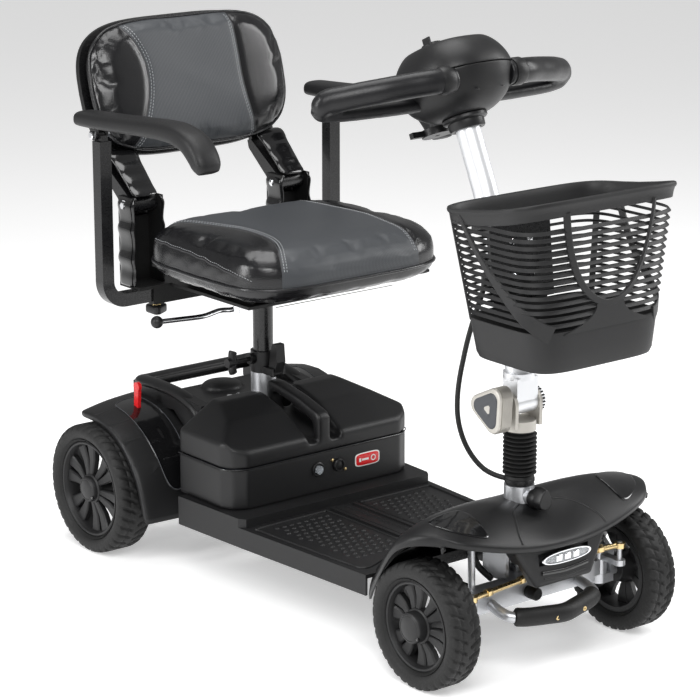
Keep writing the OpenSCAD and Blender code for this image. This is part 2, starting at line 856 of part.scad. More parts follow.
module seat_plate() {
    color([0.05, 0.05, 0.055]) {
        difference() {
            union() {
                translate([0, mast_y, 434.3]) cylinder(h = 20, r = 30, $fn = 64);
                block([-120, 130, 452], [120, 398, 457]);
                block([-184, 345, 452], [184, 402, 457]);
                both_sides() {
                    // channel of the backrest hinge
                    block([122, 362, 456], [127, 402, 604]);
                    block([179, 362, 456], [184, 402, 604]);
                    block([122, 398, 456], [184, 402, 566]);
                    // armrest socket
                    block([30, arm_y - 15, arm_z - 15], [150, arm_y + 15, arm_z + 15]);
                }
                // upholstered pan under the cushion
                hull() {
                    block([-118, 60, 470], [118, 330, 474]);
                    block([-165, 20, 494], [165, 335, 498]);
                }
            }
            // hollow of the pan, open underneath
            hull() {
                block([-114, 64, 468], [114, 326, 472]);
                block([-160, 24, 490], [160, 331, 494]);
            }
            translate([0, mast_y, 430]) cylinder(h = 21.7, r = 12 + running, $fn = 64);
            both_sides() {
                block([20, arm_y - 11.3, arm_z - 11.3], [160, arm_y + 11.3, arm_z + 11.3]);
                disc_x([110, hinge_y, hinge_z], 90, 5 + running);
            }
        }
        both_sides() block([100, 140, 456], [104, 320, 494]);
    }
}

module seat_cushion() {
    color([0.09, 0.09, 0.1])
        loft([
            ring_z(190, 166, 168, 498, 4.5), ring_z(206, 180, 168, 506, 4.5),
            ring_z(214, 188, 168, 530, 4.5),
            ring_z(213, 187, 168, 552, 4.5), ring_z(203, 177, 168, 566, 4.5), ring_z(178, 153, 168, 574, 4)
        ]);
}

// Backrest outline in its own plane: wide crowned top, narrower bottom
function back_ring(inset, w, n = 36) = [
    for (i = [0 : n - 1])
        let (
            t = 360 * i / n,
            c = cos(t),
            s = sin(t),
            u = (205 - inset) * sign(c) * pow(abs(c), 2 / 4),
            v0 = (121 - inset) * sign(s) * pow(abs(s), 2 / 3.6),
            v = 121 + v0,
            taper = 1 - 0.06 * pow((v - 130) / 120, 2)
        )
            [u * taper, w, v]
];

// Places its children in the reclined plane of the backrest
module on_back() {
    translate([0, 402, 660]) rotate([-back_lean, 0, 0]) children();
}

module back_cushion() {
    color([0.09, 0.09, 0.1]) on_back()
        loft([
            back_ring(6, 47), back_ring(0, 38), back_ring(0, 22), back_ring(7, 7), back_ring(22, 0)
        ]);
}

module back_board() {
    color([0.05, 0.05, 0.055]) {
        on_back() loft([back_ring(14, 58), back_ring(5, 53), back_ring(7, 47)]);
        both_sides() {
            hull() {
                disc_x([127.4, hinge_y, hinge_z], 51.2, 13);
                on_back() block([127.4, 52, -6], [178.6, 62, 8]);
            }
            on_back() block([129, 50, -2], [177, 60, 60]);
            disc_x([118, hinge_y, hinge_z], 70, 5);
        }
    }
}

module arm_post(side) {
    color([0.05, 0.05, 0.055])
        mirror([side < 0 ? 1 : 0, 0, 0]) {
            translate([arm_x - 34, arm_y, arm_z + 34]) rotate([90, 0, 0])
                rotate([0, 0, -90]) rotate_extrude(angle = 90, $fn = 96)
                    translate([23, -11]) square([22, 22]);
            block([arm_x - 11, arm_y - 11, arm_z + 34], [arm_x + 11, arm_y + 11, 706]);
            block([40, arm_y - 11, arm_z - 11], [arm_x - 34, arm_y + 11, arm_z + 11]);
            // hinge tongue of the pad
            difference() {
                union() {
                    block([arm_x - 6, arm_y - 9, 700], [arm_x + 6, arm_y + 11, 716]);
                    disc_x([arm_x - 6, pad_pivot[0], pad_pivot[1]], 12, 8);
                }
                disc_x([arm_x - 20, pad_pivot[0], pad_pivot[1]], 40, 4 + running);
            }
        }
}

function pad_ring(y, z, w, h, tilt) = [
    for (q = outline(w, h, 3, 20)) [q[0], y - q[1] * sin(tilt), z + q[1] * cos(tilt)]
];

module arm_pad(side) {
    mirror([side < 0 ? 1 : 0, 0, 0]) translate([arm_x, 0, 0]) {
        color([0.06, 0.06, 0.06])
            loft([
                pad_ring(413, 738, 15, 7, 0), pad_ring(408, 738, 22, 12, 0), pad_ring(340, 741, 25, 13, 0),
                pad_ring(260, 746, 25, 14, -3), pad_ring(190, 750, 25, 15, 0), pad_ring(140, 749, 25, 16, 12),
                pad_ring(104, 738, 25, 17, 38), pad_ring(84, 720, 24, 17, 58), pad_ring(76, 707, 20, 12, 64)
            ]);
        color([0.3, 0.3, 0.3]) {
            for (x = [-12, 6.3]) {
                disc_x([x, pad_pivot[0], pad_pivot[1]], 5.7, 9);
                block([x, 366, 716], [x + 5.7, 384, 732]);
            }
            disc_x([-16, pad_pivot[0], pad_pivot[1]], 32, 4);
        }
    }
}

module arm_knobs() {
    color([0.06, 0.06, 0.06])
        both_sides() hull() {
            for (a = [0, 120, 240])
                translate([135 + 12 * cos(a), arm_y + 12 * sin(a), 404]) cylinder(h = 14, r = 7, $fn = 32);
        }
    color([0.7, 0.6, 0.3]) both_sides() translate([135, arm_y, 417]) cylinder(h = 6, r = 4, $fn = 32);
}

module swivel_lever() {
    color([0.8, 0.81, 0.83]) {
        translate([-75, 222, 420]) cylinder(h = 31.7, r = 7, $fn = 48);
        translate([0, 0, 424]) linear_extrude(7) hull() {
            translate([-75, 222]) circle(r = 4, $fn = 32);
            translate([-222, 241]) circle(r = 4, $fn = 32);
        }
    }
    color([0.05, 0.05, 0.05]) translate([-222, 241, 418]) cylinder(h = 19, r = 10, $fn = 48);
}

main_frame();
front_beam();
bumper_tube();
bumper_sleeve();
floor_deck();
front_cowl();
nose_panel();
headlight();
rear_cowl();
hatch_cover();
drive_unit();
controller();
seat_mast();
mast_collar();
battery_case();
battery_lid();
battery_cells();
breaker_button();
anti_tip_wheels();
lock_knob();
clamp_knob();
release_lever();
freewheel_lever();
steering_shaft();
boot();
tilt_yoke();
tie_rods();
knuckle(-1);  // knuckle_right
knuckle(1);  // knuckle_left
tyre_front(-1);  // tyre_front_right
tyre_front(1);  // tyre_front_left
tyre_rear(-1);  // tyre_rear_right
tyre_rear(1);  // tyre_rear_left
rim_front(-1);  // rim_front_right
rim_front(1);  // rim_front_left
rim_rear(-1);  // rim_rear_right
rim_rear(1);  // rim_rear_left
tiller_tube();
basket();
basket_bracket();
head_lower();
head_upper();
handlebar();
tilt_knob();
speed_dial();
key();
paddle();
horn_button();
seat_post();
seat_plate();
seat_cushion();
back_board();
back_cushion();
arm_post(-1);  // arm_post_right
arm_post(1);  // arm_post_left
arm_pad(-1);  // arm_pad_right
arm_pad(1);  // arm_pad_left
arm_knobs();
swivel_lever();
cable();
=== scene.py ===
"""Looks of a four-wheel travel mobility scooter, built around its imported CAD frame.

Lengths in the tables are millimetres in the row frame: -Y front, -X the rider's right, +Z up.
"""
from math import acos, asin, copysign, cos, degrees, pi, radians, sin

import bmesh
import bpy
import numpy as np
from mathutils import Matrix, Vector
from mathutils.bvhtree import BVHTree


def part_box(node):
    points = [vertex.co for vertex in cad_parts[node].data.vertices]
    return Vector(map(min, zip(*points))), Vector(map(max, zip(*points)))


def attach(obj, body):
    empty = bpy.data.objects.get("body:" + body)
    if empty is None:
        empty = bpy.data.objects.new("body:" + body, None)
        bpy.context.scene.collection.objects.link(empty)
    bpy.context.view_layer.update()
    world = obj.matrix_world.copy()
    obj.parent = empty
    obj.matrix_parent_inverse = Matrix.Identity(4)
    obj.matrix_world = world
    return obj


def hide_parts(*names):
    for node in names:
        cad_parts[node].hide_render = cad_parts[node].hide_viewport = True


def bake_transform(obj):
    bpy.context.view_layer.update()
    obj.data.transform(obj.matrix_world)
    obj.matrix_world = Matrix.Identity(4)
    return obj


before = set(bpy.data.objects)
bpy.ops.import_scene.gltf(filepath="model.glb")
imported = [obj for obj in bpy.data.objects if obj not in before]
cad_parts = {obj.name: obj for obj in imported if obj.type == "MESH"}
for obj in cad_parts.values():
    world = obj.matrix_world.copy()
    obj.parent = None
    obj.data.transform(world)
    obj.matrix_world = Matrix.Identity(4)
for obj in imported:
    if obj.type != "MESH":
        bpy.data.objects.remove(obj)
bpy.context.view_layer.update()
MM = 0.001
SIDES = ((-1, "right"), (1, "left"))
TINY = 0.05             # radius that closes a turned shape on its axis
BUMP_DEPTH = 0.0006     # height of the surface grain, in metres
SHARP_ANGLE = radians(38)
DOWN = (0, 0, -1)
SLOT_OF = {}            # material name: the record's slot that it stands for


# ---------- materials ----------

def feed(nt, socket, value):
    """Links an output to an input, or sets the input's own value."""
    if isinstance(value, bpy.types.NodeSocket):
        nt.links.new(value, socket)
    else:
        socket.default_value = value


def node(nt, kind, inputs=(), out=0, **settings):
    """Adds a shader node and returns one of its outputs."""
    made = nt.nodes.new("ShaderNode" + kind)
    for key, value in settings.items():
        setattr(made, key, value)
    for key, value in dict(inputs).items():
        feed(nt, made.inputs[key], value)
    return made.outputs[out]


def mix_color(nt, fac, a, b):
    return node(nt, "Mix", {0: fac, 6: a, 7: b}, 2, data_type="RGBA")


def calc(nt, operation, a, b):
    return node(nt, "Math", {0: a, 1: b}, operation=operation)


def shaded(name, slot, **fixed):
    """A new material with its node tree, object coordinates and a function that feeds its shader."""
    m = bpy.data.materials.new(name)
    m.use_nodes = True
    SLOT_OF[m.name] = slot
    nt = m.node_tree

    def surface(values):
        for key, value in values.items():
            feed(nt, nt.nodes["Principled BSDF"].inputs[key], value)
    return m, nt, node(nt, "TexCoord", out="Object"), surface


def material(name, slot, color, rough, grain, bump, vary=0.18, spread=0.08, metallic=0.0, coat=0.0,
             stretch=(1, 1, 1), spec=0.35, transmission=0.0):
    """Principled material whose colour, roughness and bump vary with procedural noise."""
    color = color if isinstance(color, tuple) else (color, color, color * 1.05)
    m, nt, coords, surface = shaded(name, slot)
    along = node(nt, "Mapping", {"Vector": coords, "Scale": stretch})
    broad = node(nt, "TexNoise", {"Vector": coords, "Scale": 11.0, "Detail": 5.0, "Roughness": 0.6}, "Fac")
    fine = node(nt, "TexNoise", {"Vector": along, "Scale": grain, "Detail": 4.0, "Roughness": 0.65}, "Fac")
    dark, light = ([min(1.0, c * (1 + change)) for c in color] + [1] for change in (-vary, vary))
    surface({
        "Metallic": metallic, "Specular IOR Level": 0.5 if metallic else spec,
        "Coat Weight": coat, "Coat Roughness": 0.08, "Transmission Weight": transmission,
        "Base Color": mix_color(nt, broad, dark, light),
        "Roughness": node(nt, "MapRange", {"Value": fine, "From Min": 0.3, "From Max": 0.7,
                                           "To Min": max(0.02, rough - spread),
                                           "To Max": min(1.0, rough + spread)}),
        "Normal": node(nt, "Bump", {"Height": fine, "Strength": bump, "Distance": BUMP_DEPTH})})
    return m


SHELL = material("shell_satin", "shell_plastic", (0.008, 0.008, 0.0085), 0.42, 900, 0.22, spread=0.06)
SHELL_GLOSS = material("shell_gloss", "shell_plastic", (0.006, 0.006, 0.0065), 0.14, 200, 0.02, spread=0.03,
                       coat=0.6)
DECK = material("deck_moulded", "deck_plastic", (0.008, 0.008, 0.0085), 0.46, 700, 0.4, spread=0.07)
TREAD = material("tyre_rubber", "tyre", (0.008, 0.008, 0.008), 0.6, 350, 0.25, 0.3, 0.12)
RIM = material("rim_plastic", "rim", (0.012, 0.012, 0.0125), 0.45, 800, 0.25, spread=0.06)
KNOB = material("knob_plastic", "knob_plastic", (0.009, 0.009, 0.0095), 0.4, 600, 0.2)
GRIP = material("soft_grip", "grip", (0.007, 0.007, 0.008), 0.36, 500, 0.18)
RUBBER = material("rubber", "rubber", (0.007, 0.007, 0.007), 0.55, 400, 0.2, spread=0.1)
PAINT = material("black_paint", "black_steel", (0.006, 0.006, 0.0065), 0.3, 260, 0.08, coat=0.25)
BASKET = material("basket_plastic", "basket_plastic", (0.013, 0.013, 0.0135), 0.5, 900, 0.3, spread=0.06)
SILVER = material("silver_paint", "silver_metal", (0.56, 0.57, 0.59), 0.34, 700, 0.1, 0.08, metallic=0.75)
TUBE = material("brushed_tube", None, (0.80, 0.81, 0.83), 0.42, 300, 0.05, 0.05, metallic=0.7,
                stretch=(6, 6, 0.3))
CHROME = material("chrome", "chrome", (0.80, 0.81, 0.83), 0.1, 120, 0.02, 0.04, 0.04, metallic=1.0)
STEEL = material("steel", "silver_metal", (0.52, 0.53, 0.55), 0.32, 300, 0.1, 0.12, metallic=1.0)
BRASS = material("zinc_yellow", "zinc", (0.72, 0.55, 0.28), 0.3, 200, 0.1, 0.25, metallic=1.0)
CHAMPAGNE = material("champagne_metal", "zinc", (0.50, 0.48, 0.44), 0.46, 600, 0.12, 0.08, metallic=0.5)
CAST = material("cast_metal", None, (0.20, 0.21, 0.22), 0.5, 220, 0.5, 0.2, metallic=0.8)
DARK_INSERT = material("grey_insert", "knob_plastic", (0.055, 0.058, 0.065), 0.4, 700, 0.15)
RED = material("red_plastic", "shell_plastic", (0.62, 0.012, 0.015), 0.3, 300, 0.06, coat=0.3)
WHITE = material("white_print", "shell_plastic", (0.75, 0.75, 0.73), 0.4, 500, 0.05, 0.05)
THREAD = material("light_thread", "upholstery", (0.34, 0.35, 0.36), 0.7, 2500, 0.5)
DARK_THREAD = material("dark_thread", "upholstery", (0.035, 0.035, 0.037), 0.6, 2500, 0.5)
PIPING = material("piping", "upholstery", (0.012, 0.012, 0.013), 0.28, 700, 0.15, coat=0.2)
ARM_FOAM = material("arm_foam", "arm_foam", (0.008, 0.008, 0.0085), 0.48, 420, 0.35)
YELLOW = material("horn_yellow", None, (0.7, 0.45, 0.03), 0.35, 300, 0.05)
CELLS = material("cell_wrap", None, (TINY, 0.06, 0.09), 0.5, 300, 0.1)
LENS = material("lamp_lens", "lamp", (0.9, 0.93, 0.96), 0.06, 160, 0.05, 0.05, 0.04, transmission=0.75)
CLEAR = material("clear_button", None, (0.85, 0.9, 0.95), 0.12, 160, 0.05, 0.05, 0.04, transmission=0.75)


def curve_of(nt, value, points):
    """Looks x up along a seam, a table of (along, x) in millimetres, with both ranges mapped to 0..1."""
    xs = [x for _, x in points]
    low, high = min(xs) - 1, max(xs) + 1
    first, last = points[0][0], points[-1][0]
    share = node(nt, "MapRange", {"Value": value, "From Min": first * MM, "From Max": last * MM})
    looked_up = node(nt, "FloatCurve", {"Value": share})
    table = looked_up.node.mapping.curves[0].points
    scaled = [((a - first) / (last - first), (x - low) / (high - low)) for a, x in points]
    table[0].location, table[-1].location = scaled[0], scaled[-1]
    for place in scaled[1:-1]:
        table.new(*place)
    looked_up.node.mapping.update()
    return node(nt, "MapRange", {"Value": looked_up, "To Min": low * MM, "To Max": high * MM})


def upholstery(name, along, right, left, normal, above):
    """Glossy vinyl with a woven panel between two seams, on the side that faces a normal."""
    m, nt, coords, surface = shaded(name, "upholstery")
    split = node(nt, "SeparateXYZ", {0: coords}).node.outputs
    panel = calc(nt, "GREATER_THAN", node(nt, "VectorMath", {0: coords, 1: normal}, "Value",
                                          operation="DOT_PRODUCT"), above)
    for points, operation in ((right, "GREATER_THAN"), (left, "LESS_THAN")):
        inside = calc(nt, operation, split["X"], curve_of(nt, split[along], points))
        panel = calc(nt, "MULTIPLY", panel, inside)
    waves = []
    for angle in (0.6, -0.9):
        turned = node(nt, "Mapping", {"Vector": coords, "Rotation": (angle, angle * 0.5, angle)})
        waves.append(node(nt, "TexWave", {"Vector": turned, "Scale": 190.0, "Distortion": 0.4}, "Fac"))
    weave = calc(nt, "MULTIPLY", *waves)
    grain = node(nt, "TexVoronoi", {"Vector": coords, "Scale": 520.0}, "Distance")
    broad = node(nt, "TexNoise", {"Vector": coords, "Scale": 8.0, "Detail": 4.0}, "Fac")
    cloth = mix_color(nt, weave, (0.030, 0.033, 0.037, 1), (0.062, 0.067, 0.074, 1))
    vinyl = mix_color(nt, broad, (0.004, 0.004, 0.0045, 1), (0.007, 0.007, 0.008, 1))
    height = node(nt, "Mix", {0: panel, 2: grain, 3: weave})
    surface({
        "Base Color": mix_color(nt, panel, vinyl, cloth),
        "Roughness": node(nt, "MapRange", {"Value": panel, "To Min": 0.24, "To Max": 0.46}),
        "Normal": node(nt, "Bump", {"Height": height, "Strength": 0.22, "Distance": BUMP_DEPTH})})
    return m


# ---------- mesh helpers ----------

def modify(obj, kind, **settings):
    mod = obj.modifiers.new(kind.lower(), kind)
    for key, value in settings.items():
        setattr(mod, key, value)
    return mod


def round_edges(obj, width, segments, angle):
    modify(obj, "BEVEL", width=width * MM, segments=segments, limit_method="ANGLE",
           angle_limit=radians(angle))


def add(name, part, body, mat, sub=0, bevel=0.0, solid=0.0, slot=None):
    """A mesh piece from (points in millimetres, faces), riding on a body."""
    me = bpy.data.meshes.new(name)
    me.from_pydata([Vector(v) * MM for v in part[0]], [], part[1])
    bm = bmesh.new()
    bm.from_mesh(me)
    bmesh.ops.recalc_face_normals(bm, faces=bm.faces)
    bm.to_mesh(me)
    bm.free()
    obj = bpy.data.objects.new(name, me)
    bpy.context.scene.collection.objects.link(obj)
    me.materials.append(mat)
    smooth(me)
    if bevel:
        round_edges(obj, bevel, 3, 32)
    if sub:
        modify(obj, "SUBSURF", levels=sub, render_levels=sub)
    if solid:
        modify(obj, "SOLIDIFY", thickness=solid * MM, offset=-1)
    if bevel or not sub:
        me.set_sharp_from_angle(angle=SHARP_ANGLE)
    if body:
        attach(obj, body)
    slot or SLOT_OF[mat.name]
    return obj


def smooth(me):
    me.polygons.foreach_set("use_smooth", [True] * len(me.polygons))


def remesh(obj, voxel):
    modify(obj, "REMESH", mode="VOXEL", voxel_size=voxel * MM, use_smooth_shade=True)


def skin(rings, closed=True, caps=True):
    """Quads through rings of equal length."""
    n, m = len(rings[0]), len(rings)
    verts = [p for r in rings for p in r]
    faces = []
    for k in range(m - 1):
        for i in range(n if closed else n - 1):
            j = (i + 1) % n
            faces.append((k * n + i, k * n + j, (k + 1) * n + j, (k + 1) * n + i))
    if caps and closed:
        faces.append(tuple(range(n))[::-1])
        faces.append(tuple((m - 1) * n + i for i in range(n)))
    return verts, faces


def merge(parts):
    """Several (verts, faces) as one."""
    verts, faces = [], []
    for v, f in parts:
        k = len(verts)
        verts += list(v)
        faces += [tuple(i + k for i in q) for q in f]
    return verts, faces


def spline(points, steps=6, closed=False):
    """Smooth path through points."""
    p = [Vector(q) for q in points]
    n = len(p)
    out = []
    for i in range(n if closed else n - 1):
        def at(k):
            return p[k % n] if closed else p[min(max(k, 0), n - 1)]
        a, b, c, d = at(i - 1), at(i), at(i + 1), at(i + 2)
        for s in range(steps):
            t = s / steps
            out.append(0.5 * ((2 * b) + (c - a) * t + (2 * a - 5 * b + 4 * c - d) * t * t
                              + (3 * b - a - 3 * c + d) * t ** 3))
    if not closed:
        out.append(p[-1])
    return out


def tube(path, radius, n=14, closed=False, flat=1.0, up=None):
    """Swept round or oval tube: radius is a number or one per point."""
    path = [Vector(q) for q in path]
    m = len(path)
    radii = [radius] * m if isinstance(radius, (int, float)) else radius
    rings, side = [], None
    for i, p in enumerate(path):
        a = path[(i - 1) % m] if closed or i > 0 else p
        b = path[(i + 1) % m] if closed or i < m - 1 else p
        d = (b - a).normalized()
        if side is None:
            hint = Vector(up) if up else (Vector((1, 0, 0)) if abs(d.x) < 0.8 else Vector((0, 0, 1)))
            side = (hint - d * hint.dot(d)).normalized()
        side = (side - d * side.dot(d)).normalized()
        other = d.cross(side)
        rings.append([p + radii[i] * (cos(t) * side + flat * sin(t) * other)
                      for t in circle(n)])
    if closed:
        rings.append(rings[0])
        return skin(rings, caps=False)
    return skin(rings)


def lathe(profile, centre, axis="x", n=64, closed=False, flip=1):
    """Turned shape: profile is a list of (radius, distance along the axis)."""
    c = Vector(centre)
    basis = {"x": (Vector((flip, 0, 0)), Vector((0, 1, 0)), Vector((0, 0, 1))),
             "y": (Vector((0, flip, 0)), Vector((0, 0, 1)), Vector((1, 0, 0))),
             "z": (Vector((0, 0, flip)), Vector((1, 0, 0)), Vector((0, 1, 0)))}[axis]
    rings = [[c + basis[0] * h + r * (cos(t) * basis[1] + sin(t) * basis[2])
              for t in circle(n)] for r, h in profile]
    if closed:
        return skin(rings + [rings[0]], caps=False)
    return skin(rings)


def box(lo, hi):
    v = [(x, y, z) for x in (lo[0], hi[0]) for y in (lo[1], hi[1]) for z in (lo[2], hi[2])]
    return v, [(0, 1, 3, 2), (4, 6, 7, 5), (0, 4, 5, 1), (2, 3, 7, 6), (0, 2, 6, 4), (1, 5, 7, 3)]


def prism(outline, axis, lo, hi):
    """Outline of (a, b) points pushed along an axis: x takes (y, z), y takes (x, z), z takes (x, y)."""
    place = {"x": lambda a, b, c: (c, a, b), "y": lambda a, b, c: (a, c, b), "z": lambda a, b,
             c: (a, b, c)}[axis]
    return skin([[place(a, b, c) for a, b in outline] for c in (lo, hi)])


def oblong_at(t, w, l, p, q):
    c, s = cos(t), sin(t)
    return w * copysign(abs(c) ** (2 / p), c), l * copysign(abs(s) ** (2 / q), s)


def circle(n):
    return [2 * pi * k / n for k in range(n)]


def oblong(w, l, p, n=48):
    """Rounded oblong outline as (x, y) points."""
    return [oblong_at(t, w, l, p, p) for t in circle(n)]


def finish_cad(name, mat, bevel):
    """Gives a carried-over CAD node its material and soft edges."""
    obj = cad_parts[name]
    obj.data.materials.clear()
    obj.data.materials.append(mat)
    if bevel:
        round_edges(obj, bevel, 2, 35)


def surface_of(obj):
    """Search tree of a piece's final shape."""
    bpy.context.view_layer.update()
    deps = bpy.context.evaluated_depsgraph_get()
    ev = obj.evaluated_get(deps)
    me = ev.to_mesh()
    tree = BVHTree.FromPolygons([tuple(v.co) for v in me.vertices], [tuple(p.vertices) for p in me.polygons])
    ev.to_mesh_clear()
    return tree


def cast(tree, start, direction):
    """Where a line in millimetres meets the surface, and the normal there."""
    hit, normal, _, _ = tree.ray_cast(Vector(start) * MM, Vector(direction).normalized())
    return (hit / MM, normal) if hit is not None else (None, None)


def nearest(tree, p):
    hit, normal, _, _ = tree.find_nearest(Vector(p) * MM)
    return hit / MM, normal


def stitches(path, normals, length, gap, radius, lift=0.2):
    """Short sewn stitches along a path on a surface."""
    parts, run, step = [], 0.0, length + gap
    for i in range(1, len(path)):
        a, b = path[i - 1], path[i]
        d = b - a
        seg = d.length
        if seg < 1e-6:
            continue
        d = d / seg
        while run < seg:
            p = a + d * run + normals[i] * lift
            half = d * (length / 2)
            parts.append(tube([p - half, p - half * 0.6, p + half * 0.6, p + half],
                              [radius * 0.4, radius, radius, radius * 0.4], n=6))
            run += step
        run -= seg
    return merge(parts)


def on_surface(tree, points, direction, steps=10):
    """Smooth path of points dropped on a surface along a direction, with its normals."""
    path, normals = [], []
    for q in spline(points, steps):
        hit, normal = cast(tree, q, direction)
        if hit is not None:
            path.append(hit)
            normals.append(normal)
    return path, normals


# ---------- camera, light and floor ----------

CAMERA_AT = (-2605.4, -3229.0, 1513.3)
CAMERA_ALONG = (0.6039, 0.7533, -0.2605)
CAMERA_LENS = 138.5
FULL_WHITE = (1, 1, 1, 1)
FLOOR_GLOW = 0.4        # keeps the floor pale in the shadows
SKY_LIGHT, SKY_SEEN = 0.3, 0.92


def set_camera():
    back = -Vector(CAMERA_ALONG).normalized()
    right = Vector((0, 0, 1)).cross(back).normalized()
    turn = Matrix((right, back.cross(right), back)).transposed().to_4x4()
    data = bpy.data.cameras.new("camera")
    data.lens, data.sensor_width, data.clip_end = CAMERA_LENS, 36.0, 50.0
    obj = bpy.data.objects.new("camera", data)
    bpy.context.scene.collection.objects.link(obj)
    obj.matrix_world = Matrix.Translation(Vector(CAMERA_AT) * MM) @ turn
    bpy.context.scene.camera = obj


def area_light(name, at, size, power, target=(0, -0.05, 0.4)):
    data = bpy.data.lights.new(name, "AREA")
    data.shape, data.size, data.size_y, data.energy = "RECTANGLE", size[0], size[1], power
    obj = bpy.data.objects.new(name, data)
    bpy.context.scene.collection.objects.link(obj)
    obj.location = at
    obj.rotation_euler = (Vector(target) - Vector(at)).to_track_quat("-Z", "Y").to_euler()


def set_stage():
    me = bpy.data.meshes.new("floor")
    me.from_pydata([(-9, -9, 0), (9, -9, 0), (9, 9, 0), (-9, 9, 0)], [], [(0, 1, 2, 3)])
    floor = bpy.data.objects.new("floor", me)
    bpy.context.scene.collection.objects.link(floor)
    pale = material("floor_white", None, (0.86, 0.86, 0.86), 0.8, 60, 0.02, 0.01, spec=0.1)
    glow = pale.node_tree.nodes["Principled BSDF"].inputs
    glow["Emission Color"].default_value = FULL_WHITE
    glow["Emission Strength"].default_value = FLOOR_GLOW
    me.materials.append(pale)
    world = bpy.data.worlds.new("studio")
    bpy.context.scene.world = world
    world.use_nodes = True
    nt = world.node_tree
    soft = nt.nodes["Background"]
    soft.inputs["Color"].default_value = FULL_WHITE
    soft.inputs["Strength"].default_value = SKY_LIGHT
    seen = node(nt, "Background", {"Color": FULL_WHITE, "Strength": SKY_SEEN})
    sky = node(nt, "MixShader", {"Fac": node(nt, "LightPath", out="Is Camera Ray"), 1: soft.outputs[0],
                                 2: seen})
    nt.links.new(sky, nt.nodes["World Output"].inputs["Surface"])
    area_light("key", (-1.6, -2.2, 2.6), (1.6, 1.6), 70)
    area_light("left_strip", (-2.8, 0.6, 1.5), (0.6, 2.2), 55)
    area_light("right_strip", (2.3, -1.2, 1.7), (0.7, 2.0), 45)
    area_light("top", (0.1, 0.3, 3.0), (1.8, 1.8), 45)
    bpy.context.scene.view_settings.view_transform = "Standard"


set_camera()
set_stage()

# ---------- carried-over CAD parts ----------

PLAIN = [
    ("main_frame", PAINT, 1.5), ("front_beam", SILVER, 0), ("bumper_tube", SILVER, 0),
    ("drive_unit", CAST, 0),
    ("controller", CAST, 2), ("seat_mast", SILVER, 0.6), ("mast_collar", KNOB, 0),
    ("battery_cells", CELLS, 2),
    ("breaker_button", CLEAR, 1), ("anti_tip_wheels", RUBBER, 1.5), ("steering_shaft", STEEL, 0),
    ("tilt_yoke", CHAMPAGNE, 0), ("tie_rods", BRASS, 0), ("knuckle_right", SILVER, 0),
    ("knuckle_left", SILVER, 0),
    ("tiller_tube", TUBE, 0), ("basket_bracket", PAINT, 0), ("speed_dial", KNOB, 1.2), ("key", KNOB, 0.5),
    ("paddle", KNOB, 1.5), ("horn_button", YELLOW, 0.8), ("seat_post", PAINT, 0.6),
    ("seat_plate", RUBBER, 1.2),
    ("back_board", PAINT, 0), ("arm_post_right", PAINT, 2), ("arm_post_left", PAINT, 2),
    ("swivel_lever", CHROME, 0),
    ("release_lever", KNOB, 1.5), ("freewheel_lever", RED, 1.0), ("rear_cowl", SHELL, 0),
    ("hatch_cover", SHELL, 1.5),
    ("floor_deck", DECK, 3.0), ("battery_case", SHELL, 0), ("battery_lid", SHELL, 0),
    ("nose_panel", SHELL, 1.0),
]
for name, mat, bevel in PLAIN:
    finish_cad(name, mat, bevel)
for name, rounds in (("battery_lid", 60), ("battery_case", 30), ("hatch_cover", 20)):
    remesh(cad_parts[name], 1.7)
    modify(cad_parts[name], "SMOOTH", factor=0.5, iterations=rounds)


# ---------- wheels ----------

def tyre_piece(node, side, x, y, r, w, rim_r, body):
    """Air tyre with chevron blocks across the tread and ribs round the shoulder."""
    half = w / 2
    section = [(rim_r, -0.74), (rim_r + 2, -0.84), (rim_r + 4.5, -0.93), (rim_r + 5, -0.87),
               (rim_r + 9, -0.98)]
    section += [(rim_r + 14, -1.0), (r - 12, -1.0), (r - 9, -0.985), (r - 6, -0.955), (r - 3.4, -0.91)]
    section += [(r - 1.4, -0.84), (r - 0.5, -0.75)] + [(r, t / 12) for t in range(-8, 9)]
    section += [(a, -b) for a, b in reversed(section[:12])]
    count, steps = (34 if r < 100 else 38), 10
    rings = []
    for i in range(count * steps):
        a = 2 * pi * i / (count * steps)
        ring = []
        for radius, h in section:
            depth, offset = 0.0, abs(h)
            phase = (i / steps + 0.9 * offset + (0.5 if h > 0 else 0)) % 1
            if radius > r - 7:
                if phase < 0.30 and offset > 0.10:
                    depth = 2.8 if radius > r - 2 else 1.8
                if 0.36 < offset < 0.46:
                    depth = max(depth, 1.6)
            elif radius > r - 13:
                depth = 1.0 if (i / steps * 2) % 1 < 0.45 else 0.0
            rr = radius - depth
            ring.append((side * x + h * half, y + rr * cos(a), r + rr * sin(a)))
        rings.append(ring)
    obj = add("tread_" + body, skin(rings + [rings[0]], caps=False), body, TREAD)
    obj.data.set_sharp_from_angle(angle=radians(50))
    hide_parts(node)


